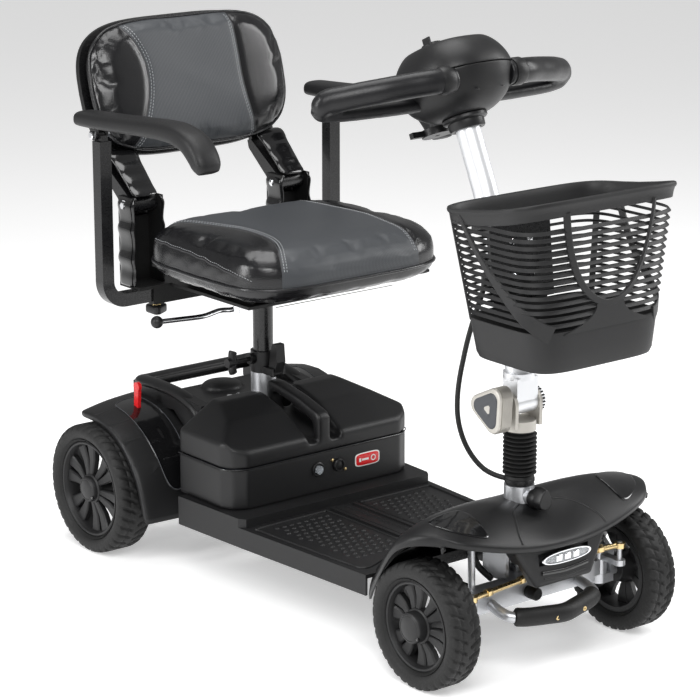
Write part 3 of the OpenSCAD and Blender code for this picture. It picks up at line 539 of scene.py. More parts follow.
def rim_piece(node, side, x, y, r, w, rim_r, cap_r, cap_out, shaft, body):
    """Rim with a deep lip, six pairs of broad spokes and a round cap with a notch."""
    half = w / 2 - 7
    c = (side * x, y, r)
    parts = [lathe([(rim_r, half), (rim_r - 2.2, half + 1.2), (rim_r - 4.5, half + 0.4),
                    (rim_r - 6, half - 3),
                    (rim_r - 7.5, half - 6), (rim_r - 8.5, half - 15), (rim_r - 8.5, -half), (rim_r, -half)],
                   c, "x", 96, closed=True, flip=side)]
    parts.append(lathe([(cap_r + 3.5, half - 9), (cap_r + 3, half - 4), (cap_r + 0.6, half - 2.5),
                        (8.5, half - 2.5),
                        (8.5, -half + 4), (cap_r - 4, -half + 4)], c, "x", 64, closed=True, flip=side))
    for k in range(12):
        middle = radians(60 * (k // 2) + (11.5 if k % 2 else -11.5) + 15)
        inner, outer = cap_r + 1.5, rim_r - 6.5
        rows = []
        for t in (0.0, 0.15, 0.5, 0.85, 1.0):
            rho = inner + (outer - inner) * t
            width = 4.6 + 6.6 * t
            face = half - 4.5 - 3.0 * sin(pi * t) - 2.5 * t
            ring = []
            for a, h in ((-1, face - 11), (-1, face - 2.2), (-0.72, face), (0.72, face), (1, face - 2.2),
                         (1, face - 11)):
                q = middle + a * width / rho
                ring.append((c[0] + side * h, c[1] + rho * cos(q), c[2] + rho * sin(q)))
            rows.append(ring)
        parts.append(skin(rows))
    if shaft:
        parts.append(lathe([(9, -half - 137), (9, half - 8)], c, "x", 32, flip=side))
    shape = merge(parts)
    obj = add("rim_" + body, shape, body, RIM, bevel=0.6)
    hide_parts(node)
    cap = [(cap_r, half - 6), (cap_r, cap_out - 5), (cap_r - 1.2, cap_out - 2.2), (cap_r - 4, cap_out - 0.8),
           (cap_r - 5.2, cap_out - 1.3), (cap_r - 6.2, cap_out - 0.7), (4, cap_out), (TINY, cap_out)]
    add("hub_cap_" + body, lathe(cap, c, "x", 64, flip=side), body, RIM)
    a = radians(-150)
    at = (c[0] + side * (cap_out - 1.2), c[1] + (cap_r - 1.5) * cos(a), c[2] + (cap_r - 1.5) * sin(a))
    add("hub_notch_" + body, lathe([(TINY, -2), (2.6, -2), (2.6, 0.8), (1.8, 1.4), (TINY, 1.4)], at, "x",
                                   20, flip=side),
        body, SHELL_GLOSS, slot="rim")


# x, y, tyre radius, tyre width, rim radius
FRONT_WHEEL, REAR_WHEEL = (198.5, -405, 97, 55, 68), (228.5, 405, 110, 65, 81)
for side, tag in SIDES:
    tyre_piece("tyre_front_" + tag, side, *FRONT_WHEEL, "wheel_f" + tag[0])
    tyre_piece("tyre_rear_" + tag, side, *REAR_WHEEL, "wheel_r" + tag[0])
    rim_piece("rim_front_" + tag, side, *FRONT_WHEEL, 24, 34, False, "wheel_f" + tag[0])
    rim_piece("rim_rear_" + tag, side, *REAR_WHEEL, 22, 32, True, "wheel_r" + tag[0])


# ---------- front cowl ----------

COWL = [
    [(0, -493, 208), (58, -492, 210), (112, -488, 219), (162, -479, 231), (192, -465, 237), (203, -448, 240)],
    [(0, -470, 216), (52, -469, 228), (110, -466, 238), (168, -460, 243), (206, -448, 243), (217, -432, 241)],
    [(0, -440, 226), (50, -440, 245), (108, -438, 254), (174, -430, 254), (217, -422, 248), (228, -410, 238)],
    [(0, -400, 238), (58, -400, 259), (112, -398, 265), (178, -394, 258), (224, -388, 242), (234, -384, 228)],
    [(0, -360, 245), (60, -360, 251), (114, -358, 248), (174, -356, 240), (222, -358, 222), (232, -360, 208)],
    [(0, -325, 232), (58, -325, 232), (110, -322, 225), (166, -316, 206), (214, -323, 183), (225, -328, 166)],
    [(0, -285, 208), (55, -285, 206), (104, -284, 192), (154, -280, 168), (195, -286, 144), (206, -289, 130)],
    [(0, -235, 173), (50, -238, 169), (99, -244, 155), (146, -250, 135), (183, -262, 112), (194, -266, 100)],
    [(0, -180, 126), (48, -184, 126), (90, -196, 126), (124, -212, 125.5), (160, -236, 121),
     (178, -250, 110)],
]


def cowl_surface():
    rows = []
    for row in COWL:
        lip = row[-1]
        edge = row + [(lip[0] + 1.5, lip[1], lip[2] - 6), (lip[0] + 0.5, lip[1], lip[2] - 13)]
        rows.append([(-x, y, z) for x, y, z in edge[:0:-1]] + edge)
    front = [(x, y - 1.5, z - 5) for x, y, z in rows[0]]
    under = [(x, y + 1, z - 11) for x, y, z in rows[0]]
    return [under, front] + rows


shape = skin(cowl_surface(), closed=False, caps=False)
cowl = add("front_cowl_shell", shape, "chassis", SHELL, sub=2, solid=3.5)
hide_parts("front_cowl")
cowl_tree = surface_of(cowl)


def patch(name, outline, tree, mat, body, lift=0.9, rise=1.0):
    """A thin inlaid panel that lies on a surface, outlined by points, with a fine raised edge."""
    loop = spline(outline, 5, closed=True)
    middle = sum(loop, Vector()) / len(loop)
    rings = []
    for t, up in ((1.0, -0.6), (0.99, rise * 0.6), (0.965, rise), (0.9, rise * 0.8), (0.6, rise * 0.8),
                  (0.3, rise * 0.8), (0.02, rise * 0.8)):
        ring = []
        for q in loop:
            p = middle + (q - middle) * t
            hit, normal = cast(tree, p + Vector((0, 0, 400)), DOWN)
            if hit is None:
                hit, normal = nearest(tree, p)
            ring.append(hit + normal * (up + lift))
        rings.append(ring)
    return add(name, skin(rings), body, mat)


FIN = [(-188, -398, 240), (-196, -416, 240), (-190, -436, 240), (-176, -454, 240), (-146, -470, 240),
       (-134, -466, 240), (-132, -436, 240), (-136, -408, 240), (-154, -398, 240)]
for side, tag in ((1, "right"), (-1, "left")):
    patch("fin_inlay_" + tag, [(x * side, y, z) for x, y, z in FIN], cowl_tree, SHELL_GLOSS, "chassis")
    # ridge line from the column to the nose
    ridge, normals = on_surface(cowl_tree, [(-side * 20, -405, 300), (-side * 52, -430, 300),
                                            (-side * 78, -470, 300),
                                            (-side * 84, -487, 300)], DOWN)
    add("ridge_" + tag, tube([p - n * 1.2 for p, n in zip(ridge, normals)], 2.6), "chassis", SHELL)
    for k, (x, y) in enumerate(((142, -330), (78, -262))):
        hit, _ = cast(cowl_tree, (-side * x, y, 400), DOWN)
        screw = lathe([(TINY, 1.0), (2.2, 1.0), (3.6, 0.8), (4.4, 0), (4.4, -2), (TINY, -2)], hit, "z", 24)
        add("cowl_screw_%s_%d" % (tag, k), screw, "chassis", KNOB, slot="shell_plastic")

# nose panel trim: recessed slot below the lamp
shape = tube(spline([(-46, -488.6, 163), (0, -489.6, 160), (46, -488.6, 163)], 6), 3.2, flat=0.5)
add("nose_slot_low", shape, "chassis", SHELL_GLOSS)
shape = tube(spline([(-42, -489.0, 154), (0, -489.8, 151), (42, -489.0, 154)], 6), 1.6, flat=0.6)
add("nose_slot_line", shape, "chassis", KNOB, slot="shell_plastic")

# headlight: chrome surround, clear lens and three bright blocks
lamp = [(x, z) for x, z in oblong(48, 9.5, 2.3, 48)]
rings = []
for grow, y in ((1.0, -488), (1.02, -491.6), (1.0, -493), (0.93, -493.2), (0.9, -491), (0.9, -488)):
    rings.append([(x * grow, y, 183 + z * (grow if grow > 0.95 else grow * 0.9)) for x, z in lamp])
add("lamp_surround", skin(rings), "chassis", CHROME, slot="lamp")
glass = [[(x * t, y, 183 + z * t * 0.86) for x, z in lamp] for t, y in
         ((0.9, -489), (0.9, -491.5), (0.84, -493.4), (0.6, -494.2), (0.02, -494.5))]
obj = add("lamp_lens", skin(glass), "chassis", LENS)
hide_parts("headlight")
for k in (-1, 0, 1):
    shape = box((k * 17 - 6, -494.9, 178), (k * 17 + 6, -491, 188))
    add("lamp_block_%d" % (k + 2), shape, "chassis", CHROME, bevel=1.2, slot="lamp")


# ---------- rear cowl skin ----------

AXLE_Y, AXLE_Z = 405, 110
FENDER = [(72, 124), (90, 120), (110, 118), (130, 119), (150, 122), (166, 128), (178, 134), (190, 145)]


def fender_point(x, k, rise):
    a, r = radians(FENDER[k][0]), FENDER[k][1] + rise
    return (x, AXLE_Y + r * cos(a), AXLE_Z + r * sin(a))


for side, tag in SIDES:
    rows = []
    for k in range(len(FENDER)):
        low = k >= 5
        profile = [(238.5, -4), (239.5, 2), (238.5, 6.4), (232, 8.2), (205, 13 if not low else 9.6),
                   (178, 17 if not low else 9.8), (150, 19 if not low else 10), (118, 22 if not low else 10)]
        rows.append([fender_point(side * x, k, rise) for x, rise in profile])
    skin_piece = add("fender_skin_" + tag, skin(rows, closed=False, caps=False), "chassis", SHELL,
                                 sub=2, solid=2.0, slot="shell_plastic")
    tree = surface_of(skin_piece)
    strip = []
    for x, a in ((-192, 86), (-150, 84), (-140, 100), (-138, 130), (-142, 160), (-150, 171), (-176, 173),
                 (-190, 163),
                 (-196, 135), (-197, 105)):
        r, q = 136, radians(a)
        strip.append((-side * x, AXLE_Y + r * cos(q), AXLE_Z + r * sin(q)))
    loop = spline(strip, 6, closed=True)
    middle = sum(loop, Vector()) / len(loop)
    rings, edge = [], []
    for t, up in ((1.0, -0.5), (0.99, 1.0), (0.97, 1.7), (0.93, 1.4), (0.85, 1.3), (0.7, 1.3), (0.55, 1.3),
                  (0.4, 1.3),
                  (0.25, 1.3), (0.1, 1.3)):
        ring = []
        for q in loop:
            p = middle + (q - middle) * t
            radial = Vector((0, p.y - AXLE_Y, p.z - AXLE_Z)).normalized()
            hit, normal = cast(tree, Vector((p.x, AXLE_Y, AXLE_Z)) + radial * 260, -radial)
            if hit is None:
                hit, normal = nearest(tree, p)
            ring.append(hit + radial * up)
        rings.append(ring)
        if t == 0.97:
            edge = [Vector(q) + Vector((0, 0, 0.1)) for q in ring]
    shape = skin(rings)
    add("fender_inlay_" + tag, (shape[0], shape[1][:-1]), "chassis", SHELL_GLOSS)
    add("fender_inlay_line_" + tag, tube(edge, 0.55, n=8, closed=True), "chassis", DARK_INSERT,
        slot="shell_plastic")

# side rails and the lifting bar, as one rounded loop
RAIL = [(114, 262, 196), (114, 266, 226), (114, 280, 247), (114, 305, 259), (115, 340, 267), (117, 390, 270),
        (119, 425, 270), (114, 443, 268), (96, 449, 266), (60, 450, 266)]
path = spline([(-x, y, z) for x, y, z in RAIL] + [(0, 450, 266)] + [(x, y, z) for x, y, z in RAIL[::-1]], 6)
shape = tube(path, [14 if 10 < i < len(path) - 10 else 12.5 for i in range(len(path))], n=20, flat=0.62,
             up=(1, 0, 0))
add("cowl_rail", shape, "chassis", SHELL)

# chrome catch beside the mast
shape = merge([box((-64, 268, 252), (-44, 282, 256)), lathe([(TINY, 0), (6, 0), (6, 9), (4.5, 11),
                                                             (TINY, 11)],
                                                           (-54, 275, 256), "z", 24),
              tube(spline([(-46, 275, 262), (-36, 276, 266), (-30, 279, 262)], 5), 2.0, n=10)])
add("rear_catch", shape, "chassis", CHROME)


# ---------- deck ----------

deck_parts = []
for side in (-1, 1):
    # raised rim of each foot panel
    rim_line = spline([(side * 34, 28, 0), (side * 34, -120, 0), (side * 36, -176, 0), (side * 100, -196, 0),
                       (side * 158, -216, 0), (side * 168, -180, 0), (side * 174, -90, 0),
                       (side * 180, 20, 0),
                       (side * 174, 34, 0), (side * 100, 36, 0), (side * 44, 36, 0)], 8, closed=True)
    deck_parts.append(tube([(p.x, p.y, 120.6) for p in rim_line], 3.0, n=10, closed=True, flat=0.7,
                           up=(0, 0, 1)))
shape = merge(deck_parts)
add("deck_panel_rims", shape, "chassis", DECK)
dots = []
for side in (-1, 1):
    for row in range(15):
        y = 18 - 15.5 * row
        wide = 166 - 0.06 * (50 - y)
        for k in range(9):
            x = 50 + 14.5 * k + (7.2 if row % 2 else 0)
            if x > wide - 8 or (y < -170 and x > wide - 30):
                continue
            if y < -150 - 0.25 * x + 20 and y < -185 + 0.1 * x:
                continue
            dome = lathe([(4.6, -0.4), (4.0, 0.9), (2.6, 1.9), (0.9, 2.3), (TINY, 2.35)],
                         (side * x, y, 120.9), "z", 12)
            dots.append(dome)
shape = merge(dots)
add("deck_bumps", shape, "chassis", DECK)
ribs = [tube([(x, 40, 121), (x, -60, 121), (x, -176, 121)], 2.6, n=10, flat=0.8) for x in (-14, 8, 27)]
shape = merge(ribs)
add("deck_ribs", shape, "chassis", DECK)


# ---------- battery front details ----------

seam = [(-190.4, 232, 204), (-190.4, 119, 204), (-188, 106, 204), (-180, 97, 204), (-170, 89.5, 204),
        (-158, 84.7, 204),
        (158, 84.7, 204), (170, 89.5, 204), (180, 97, 204), (188, 106, 204), (190.4, 119, 204),
        (190.4, 232, 204)]
add("battery_seam", tube(seam, 1.0, n=8), "chassis", PIPING, slot="shell_plastic")
inlet = merge([lathe([(11, 1), (11, -3), (9.8, -4.4), (8.2, -4.4), (7.9, 1)], (27, 85, 176), "y", 40,
                     closed=True),
               lathe([(7.8, 6), (7.8, -2), (6.5, -2.6), (TINY, -2.6)], (27, 85, 176), "y", 32)])
add("inlet_cap", inlet, "chassis", KNOB, slot="shell_plastic")
screws = merge([lathe([(TINY, -2.0), (1.6, -2.0), (2.6, -1.4), (2.9, 0.5)], at, "y", 20)
                for at in ((13.5, 85, 186), (40.5, 85, 166))])
add("inlet_screws", screws, "chassis", BRASS)
collar = lathe([(12.5, 0.6), (12.3, -1.8), (10.8, -2.8), (8.2, -2.6), (7.6, 0.6)], (-16, 85, 176), "y", 40,
               closed=True)
add("button_collar", collar, "chassis", KNOB, slot="shell_plastic")


def badge(name, w, h, y, mat):
    rings = []
    for t, dy in ((1.0, 0.8), (1.0, -0.2), (0.96, -0.5), (0.5, -0.5), (0.02, -0.5)):
        rings.append([(88 + x * t, y + dy, 175 + z * t) for x, z in oblong(w, h, 5, 48)])
    add(name, skin(rings), "chassis", mat)


badge("badge_border", 26, 11.5, 84.9, WHITE)
badge("badge_face", 24, 9.8, 84.6, RED)
marks = [lathe([(5.2, 0), (5.2, -0.5), (3.6, -0.5), (3.6, 0)], (100, 84.1, 175), "y", 32, closed=True),
         box((76, 83.6, 173.4), (90, 84.2, 176.6)), box((70, 83.6, 172), (74, 84.2, 178))]
add("badge_marks", merge(marks), "chassis", WHITE)


# ---------- bumper, pipes and wheel-well hardware ----------

bumper = spline([(-88, -424, 106), (-89, -446, 101), (-84, -464, 97.5), (-62, -475, 95.5), (0, -489, 93),
                 (62, -475, 95.5), (84, -464, 97.5), (89, -446, 101), (88, -424, 106)], 6)
obj = add("bumper_bar", tube(bumper, 8.4, n=20), "chassis", SILVER, slot="chrome")
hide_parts("bumper_tube")
sleeve = spline([(-80, -465.5, 97), (-62, -475, 95.5), (-30, -483.5, 94), (0, -489.5, 93), (30, -483.5, 94),
                 (62, -475, 95.5), (80, -465.5, 97)], 6)
radii = [9.6] + [13.2] + [14.2] * (len(sleeve) - 4) + [13.2] + [9.6]
pads = merge([tube(sleeve, radii, n=24),
              lathe([(TINY, -22), (8.5, -22), (10, -20), (10, -3), (9, 0), (5.2, 0), (4.6, -2), (TINY, -2)],
                    (-14, -424, 111), "y", 32)])
obj = add("bumper_rubber", pads, "chassis", RUBBER)
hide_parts("bumper_sleeve")
heads = [lathe([(TINY, -1.2), (1.5, -1.2), (1.7, -2.3), (3.4, -2.2), (3.9, -1.0), (3.9, 1)], at, "y", 24)
         for at in ((-22, -497.8, 92), (34, -495.6, 93))]
add("bumper_screws", merge(heads), "chassis", BRASS)
for side, tag in SIDES:
    strut = tube([(side * 104, -398, 128), (side * 104, -396, 200), (side * 103, -392, 236)], 5.5, n=16)
    add("cowl_strut_" + tag, strut, "chassis", SILVER)
    hose = tube(spline([(side * 60, -392, 132), (side * 84, -386, 160), (side * 88, -376, 200),
                        (side * 70, -372, 232)], 8),
                5.0, n=12)
    add("wiring_sleeve_" + tag, hose, "chassis", RUBBER)
    nut = merge([lathe([(TINY, 0), (11, 0), (11, 6), (9, 8), (TINY, 8)], (side * 150, -405, 140), "z", 6),
                 lathe([(TINY, 8), (5, 8), (5, 12), (4, 13), (TINY, 13)], (side * 150, -405, 140), "z", 20)])
    add("kingpin_nut_" + tag, nut, "chassis", STEEL)
    z = 137 if side < 0 else 155.3
    adjusters = []
    for t in (0.22, 0.72):
        a = Vector((side * 150 * t, -430 - 20 * t, z))
        d = Vector((side * 150, -20, 0)).normalized()
        adjusters.append(tube([a, a + d * 1, a + d * 9, a + d * 10], [6.2, 6.9, 6.9, 6.2], n=6))
    add("rod_nuts_" + tag, merge(adjusters), "rods", BRASS)


# ---------- steering column ----------

folds = []
for k in range(10):
    z = 284 + 6.6 * k
    folds += [(19.5, z), (23.6, z + 1.0), (25.6, z + 2.3), (25.6, z + 3.2), (23.6, z + 4.6), (19.5, z + 5.6)]
boot = lathe([(13.5, 269.5), (21, 269.5), (22.2, 271), (22.2, 281), (20.5, 283.5)] + folds
             + [(21, 350), (22, 351), (22, 352.8), (13.5, 352.8)], (0, -385, 0), "z", 72, closed=True)
obj = add("boot_bellows", boot, "steering", RUBBER)
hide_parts("boot")
band = lathe([(22.4, 273), (23.2, 273.6), (23.2, 277.4), (22.4, 278)], (0, -385, 0), "z", 64, closed=True)
add("boot_band", band, "steering", KNOB, slot="rubber")


def tri_outline(r, corner, n=14):
    """Outline of a triangle with big round corners, in its own plane."""
    out = []
    for k in range(3):
        a = radians(120 * k)
        for i in range(n):
            q = a + radians(-60 + 120 * i / (n - 1))
            out.append((r * cos(a) + corner * cos(q), r * sin(a) + corner * sin(q)))
    return out


def tri_knob(name, centre, turn, body, r, corner, depth, mat, insert):
    """Three-cornered grip across X with ribbed sides, a dark inset face and a finger dimple."""
    base = tri_outline(r, corner)

    def ring(x, grow):
        c, s = cos(turn), sin(turn)
        return [(centre[0] + x, centre[1] + (a * c - b * s) * grow,
                 centre[2] + (a * s + b * c) * grow) for a, b in base]
    rows = [ring(0, 0.62), ring(-2, 0.80)]
    for k in range(9):
        x = -4 - (depth - 10) * k / 9
        pitch = (depth - 10) / 9
        rows += [ring(x, 0.97), ring(x - pitch * 0.55, 0.97), ring(x - pitch * 0.62, 0.91),
                 ring(x - pitch * 0.93, 0.91)]
    rows += [ring(-depth + 4, 0.97), ring(-depth + 1.2, 0.93), ring(-depth, 0.84), ring(-depth + 0.4, 0.74)]
    add(name, skin(rows), body, mat)
    face = [ring(-depth + 0.6, 0.76), ring(-depth - 0.8, 0.72), ring(-depth - 1.2, 0.62),
            ring(-depth - 1.2, 0.34),
            ring(-depth - 0.6, 0.26), ring(-depth + 0.6, 0.16), ring(-depth + 0.8, 0.02)]
    add(name + "_insert", skin(face), body, insert)


tri_knob("tilt_grip", (-37, -384, 395), radians(4), "tilt_clamp", 24, 16, 29, CHAMPAGNE, DARK_INSERT)
pin = merge([lathe([(TINY, -38), (6, -38), (6, 34), (TINY, 34)], (0, -384, 395), "x", 32),
             lathe([(TINY, 33), (11, 33), (11, 37.5), (9.6, 39), (TINY, 39)], (0, -384, 395), "x", 6)])
obj = add("tilt_pin", pin, "tilt_clamp", STEEL, slot="zinc")
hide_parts("tilt_knob")
gear = []
for i in range(96):
    a = 2 * pi * i / 96
    r = 21.5 if i % 4 < 2 else 19.2
    gear.append((-384 + r * cos(a), 395 + r * sin(a)))
gear_piece = prism(gear, "x", 27.6, 32.2)
add("tilt_gear", gear_piece, "tiller", KNOB, bevel=0.4)

# wing knob on the column boss
wing = lathe([(TINY, 0.5), (13, 0.5), (14.5, -2), (14.5, -14), (13, -16.5), (TINY, -17)], (0, -415.6, 253),
             "y", 48)
obj = add("column_knob_hub", wing, "column_lock", KNOB)
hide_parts("lock_knob")
rings = []
for t in (0, 0.12, 0.5, 0.88, 1.0):
    y = -421 - 24 * t
    pts = []
    for i in range(40):
        a = 2 * pi * i / 40
        x, z = cos(a), sin(a)
        grow = (0.88 + 0.14 * sin(pi * t))
        pts.append((x * (14 if z < 0 else 14 - 5 * z) * grow, y, 253 + z * (14 if z < 0 else 21) * grow))
    rings.append(pts)
add("column_knob_wing", skin(rings), "column_lock", KNOB, bevel=1.2)

# T-shaped clamp knob on the mast collar
tee = merge([lathe([(TINY, 37), (3.9, 37), (3.9, -3), (7.6, -3), (7.6, -20), (TINY, -20)], (-55, 253, 330),
                   "x", 24),
             tube(spline([(-62, 253, 311), (-64, 253, 318), (-62, 253, 330), (-64, 253, 342),
                          (-62, 253, 349)], 5),
                  [4.6] + [7.0] * 19 + [4.6], n=16)])
obj = add("clamp_tee", tee, "mast_clamp", KNOB)
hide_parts("clamp_knob")


# ---------- tiller head ----------

HEAD_AT, HEAD_LEAN = Vector((0, -246, 809)), radians(25)


def head(x, y, z):
    """Point of the tiller head: x across, y towards the rider, z out of the console."""
    c, s = cos(HEAD_LEAN), sin(HEAD_LEAN)
    return (HEAD_AT.x + x, HEAD_AT.y + y * c + z * s, HEAD_AT.z - y * s + z * c)


def head_rings(rows, power=2.5, n=72, shift=-2):
    return [[head(x, y + shift, z) for x, y in oblong(w, l, power, n)] for w, l, z in rows]


neck = head_rings([(20.5, 20.5, -25), (26, 26, -25), (27.5, 27.5, -23), (28, 28, -13), (32, 32, -12),
                   (34, 35, -10),
                   (34, 35, -6), (31, 32, -4.5), (31, 32, -2), (20.5, 20.5, -2)], 2.0, 64, -3)
add("head_neck", skin(neck + [neck[0]], caps=False), "tiller", KNOB, slot="shell_plastic")
low = head_rings([(30, 31, -4), (34, 36, -5), (44, 46, -2), (58, 60, 6), (68, 72, 16), (75, 80, 29),
                  (79.5, 85, 42),
                  (81.5, 87.5, 51), (82, 88, 53.2), (81, 87, 53.9), (77, 83, 53.9), (72, 78, 35),
                  (52, 56, 10),
                  (30, 31, 2)])
obj = add("head_shell_low", skin(low + [low[0]], caps=False), "tiller", SHELL, sub=1)
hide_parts("head_lower")
high = head_rings([(78, 84, 54.6), (81, 87, 54.6), (82, 88, 55.4), (82, 88, 57), (81, 87, 64), (78.5, 84, 73),
                   (74, 79, 83), (68, 73, 92), (62, 66, 99), (56.5, 60, 103.4), (55, 58.5, 103.6),
                   (54, 57.5, 102.2),
                   (30, 33, 101.4), (2, 2, 101.2), (0.5, 0.5, 99), (70, 75, 78)])
obj = add("head_shell_high", skin(high + [high[0]], caps=False), "tiller", SHELL, sub=1)
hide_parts("head_upper")
panel = head_rings([(53, 56, 101), (53.2, 56.2, 103), (52, 55, 104.6), (48, 51, 105.2), (20, 22, 105.4),
                    (1, 1, 105.4)])
add("console_panel", skin(panel), "tiller", SHELL_GLOSS, sub=1)
for side, tag in SIDES:
    spots = [lathe([(TINY, 0.6), (1.4, 0.6), (2.3, 0.3), (2.6, -0.6), (TINY, -0.6)],
                   head(side * 24, -74 - 2, 14 + 4), "z", 16, flip=-1)]
    add("head_screw_" + tag, merge(spots), "tiller", SHELL_GLOSS)

# scale round the speed dial, meter and status lamps
dial_parts = []
for k in range(11):
    a = radians(-130 + 26 * k)
    p, q = 19.5, 22.5 + (1.4 if k % 5 == 0 else 0)
    r0, r1 = (head(sin(a) * t, 22 - cos(a) * t, 105.6) for t in (p, q))
    dial_parts.append(tube([r0, r1], 0.45 + 0.03 * k, n=6))
add("dial_scale", merge(dial_parts), "tiller", WHITE)
ribs = []
for k in range(24):
    a = 2 * pi * k / 24
    ribs.append(tube([head(17.2 * cos(a), 22 + 17.2 * sin(a), 105 + t) for t in (1.0, 2.0, 9.5, 10.5)],
                     [0.4, 1.0, 1.0, 0.4], n=8))
add("dial_ribs", merge(ribs), "dial", KNOB)
bars = []
for k in range(5):
    lo, hi = -13 + 5.6 * k, -13 + 5.6 * k + 4.2
    corner = [head(x, y, 105.7) for x, y in ((lo, -34), (hi, -34), (hi, -29), (lo, -29))]
    top = [head(x, y, 106.2) for x, y in ((lo, -34), (hi, -34), (hi, -29), (lo, -29))]
    bars.append(skin([corner, top]))
add("charge_meter", merge(bars), "tiller", LENS, slot="shell_plastic")
frame_line = [head(x, y - 31.5, 105.7) for x, y in oblong(19, 6.5, 5, 40)]
add("meter_frame", tube(frame_line, 0.8, n=8, closed=True), "tiller", CHROME, slot="shell_plastic")


# ---------- handlebar ----------

BAR = [(52, -285, 871), (88, -284, 871), (124, -270, 867), (160, -256, 862), (188, -240, 857),
       (210, -226, 852),
       (226, -214, 848), (236, -208, 843)]
LOOP = [(238, -205, 837), (232, -204, 829), (216, -207, 826), (190, -211, 825), (150, -215, 825),
        (110, -218, 825),
        (70, -221, 826), (48, -223, 827)]
for side, tag in SIDES:
    line = spline([(side * x, y, z) for x, y, z in BAR], 6)
    n_ = len(line)
    radii = [19.0 - 1.5 * max(0, (k - n_ + 8) / 8) for k in range(n_)]
    parts = [tube(line, radii, n=32, flat=0.9, up=(0, 0, 1))]
    back = spline([(side * x, y, z) for x, y, z in LOOP], 6)
    parts.append(tube(back, [14.5 - 3.5 * min(1, k / 10) for k in range(len(back))], n=24, up=(0, 0, 1)))
    ball = [lathe([(TINY, -17)] + [(17 * cos(radians(a)), 17 * sin(radians(a)))
                                   for a in range(-80, 90, 10)] + [(TINY, 17)], (side * 234, -208, 842),
                                   "z", 32)]
    shape = merge(parts + ball)
    obj = add("handlebar_" + tag, shape, "tiller", GRIP)
    remesh(obj, 2.2)
    modify(obj, "SMOOTH", factor=0.5, iterations=8)
    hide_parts("handlebar")
    # parting line along the front of the grip, and the raised dots of the textured inset on top
    parting = []
    for k, p in enumerate(line[4:]):
        parting.append(p + Vector((side * -0.3, -0.9, -0.25)).normalized() * (radii[k + 4] * 0.93))
    add("grip_seam_" + tag, tube(parting, 0.55, n=8), "tiller", RUBBER, slot="grip")
    collar = tube([(side * 60, -285, 871), (side * 64, -285, 871), (side * 76, -285, 871),
                   (side * 80, -284.5, 871)],
                  [20.0, 21.2, 21.2, 19.4], n=40, flat=0.92, up=(0, 0, 1))
    add("grip_collar_" + tag, collar, "tiller", SHELL)
    dots = []
    for k in range(26):
        for j in (-1, 0, 1):
            i = 10 + k * (n_ - 16) // 26
            p = line[i] + Vector((0, 5.4 * j, 17.0 - 1.0 * abs(j)))
            dots.append(lathe([(1.3, -0.8), (1.1, 0.3), (0.6, 0.7), (TINY, 0.8)], p, "z", 8))
    add("grip_dots_" + tag, merge(dots), "tiller", GRIP)


# ---------- basket ----------

BASKET_LOW, BASKET_HIGH, BASKET_CORNER = 497, 728, 5.2


def basket_size(z):
    """Half width, half length and centre line of the tapering basket wall at a height."""
    t = (z - BASKET_LOW) / (BASKET_HIGH - BASKET_LOW)
    return 119 + 41 * t, 84 + 14.5 * t, -477 + 14 * t


def basket_ring(z, inset=0.0):
    w, l, cy = basket_size(z)
    return [(x, cy + y, z) for x, y in oblong(w - inset, l - inset, BASKET_CORNER, 96)]


def basket_at(phi, z, out=0.0):
    """Point on the outside wall: phi in degrees from +X round to the rider (+Y)."""
    w, l, cy = basket_size(z)
    x, y = oblong_at(radians(phi), w + out, l + out, BASKET_CORNER, BASKET_CORNER)
    return x, cy + y, z


def rim_height(y):
    """Wavy rim: high at front and back, low at the sides."""
    t = (y + 463) / 98
    return 714 + 5 * t * t - 15 * t


parts = []
# floor and skirt
skirt = [basket_ring(z, i) for z, i in ((490, 5), (491, 2), (498, 0), (520, 0), (544, 0), (550, 0.6),
                                        (550, 3.4),
                                        (520, 3.4), (496, 4))]
parts.append(skin([basket_ring(490, 83), basket_ring(490, 40)] + skirt + [basket_ring(496, 40),
                                                                          basket_ring(496, 83)]))
# louvre slats, each a rounded blade that leans out at its lower edge
for k in range(14):
    z = 560 + 10.5 * k
    rows = [basket_ring(z + dz, i) for dz, i in ((-2.2, -0.6), (-3.0, 0.4), (-2.5, 1.4), (1.3, 3.8),
                                                 (2.3, 3.6),
                                                 (2.1, 2.6))]
    parts.append(skin(rows + [rows[0]], caps=False))
# rim: a deep band with a rolled lip that rises and falls
rows = []
for out, dz in ((0.4, -20), (1.4, -19), (1.6, -11), (2.4, -5), (3.8, -3), (4.2, 0), (3.0, 3), (0.6, 4),
                (-2.6, 3),
                (-4.4, -1), (-4.0, -11), (-2.8, -19), (-1.6, -20)):
    ring = []
    for i in range(96):
        a = 360 * i / 96
        base = basket_at(a, 722)
        z = rim_height(base[1]) + dz + 3
        ring.append(basket_at(a, z, out - 1.2))
    rows.append(ring)
parts.append(skin(rows + [rows[0]], caps=False))


def band(path, width, thick=2.6):
    """Curved flat rib on the wall: path of (phi, z), offset on both sides in the wall."""
    points = [Vector(basket_at(p, z)) for p, z in path]
    rows = []
    for i, (phi, z) in enumerate(path):
        a, b = points[max(0, i - 1)], points[min(len(points) - 1, i + 1)]
        d = (b - a).normalized()
        out = (Vector(basket_at(phi, z, 5)) - points[i])
        out = (out - d * out.dot(d)).normalized()
        side_ = d.cross(out).normalized()
        w = width if isinstance(width, (int, float)) else width[i]
        c = points[i]
        rows.append([c - side_ * w + out * 0.2, c - side_ * (w - 1) + out * 1.1,
                     c + side_ * (w - 1) + out * 1.1,
                     c + side_ * w + out * 0.2, c + side_ * w - out * thick, c - side_ * w - out * thick])
    return skin(rows)


def front_phi(x, z):
    """Angle of a point on the front wall with this x."""
    c = max(-1.0, min(1.0, x / basket_size(z)[0]))
    return -degrees(acos(copysign(abs(c) ** (BASKET_CORNER / 2), c)))


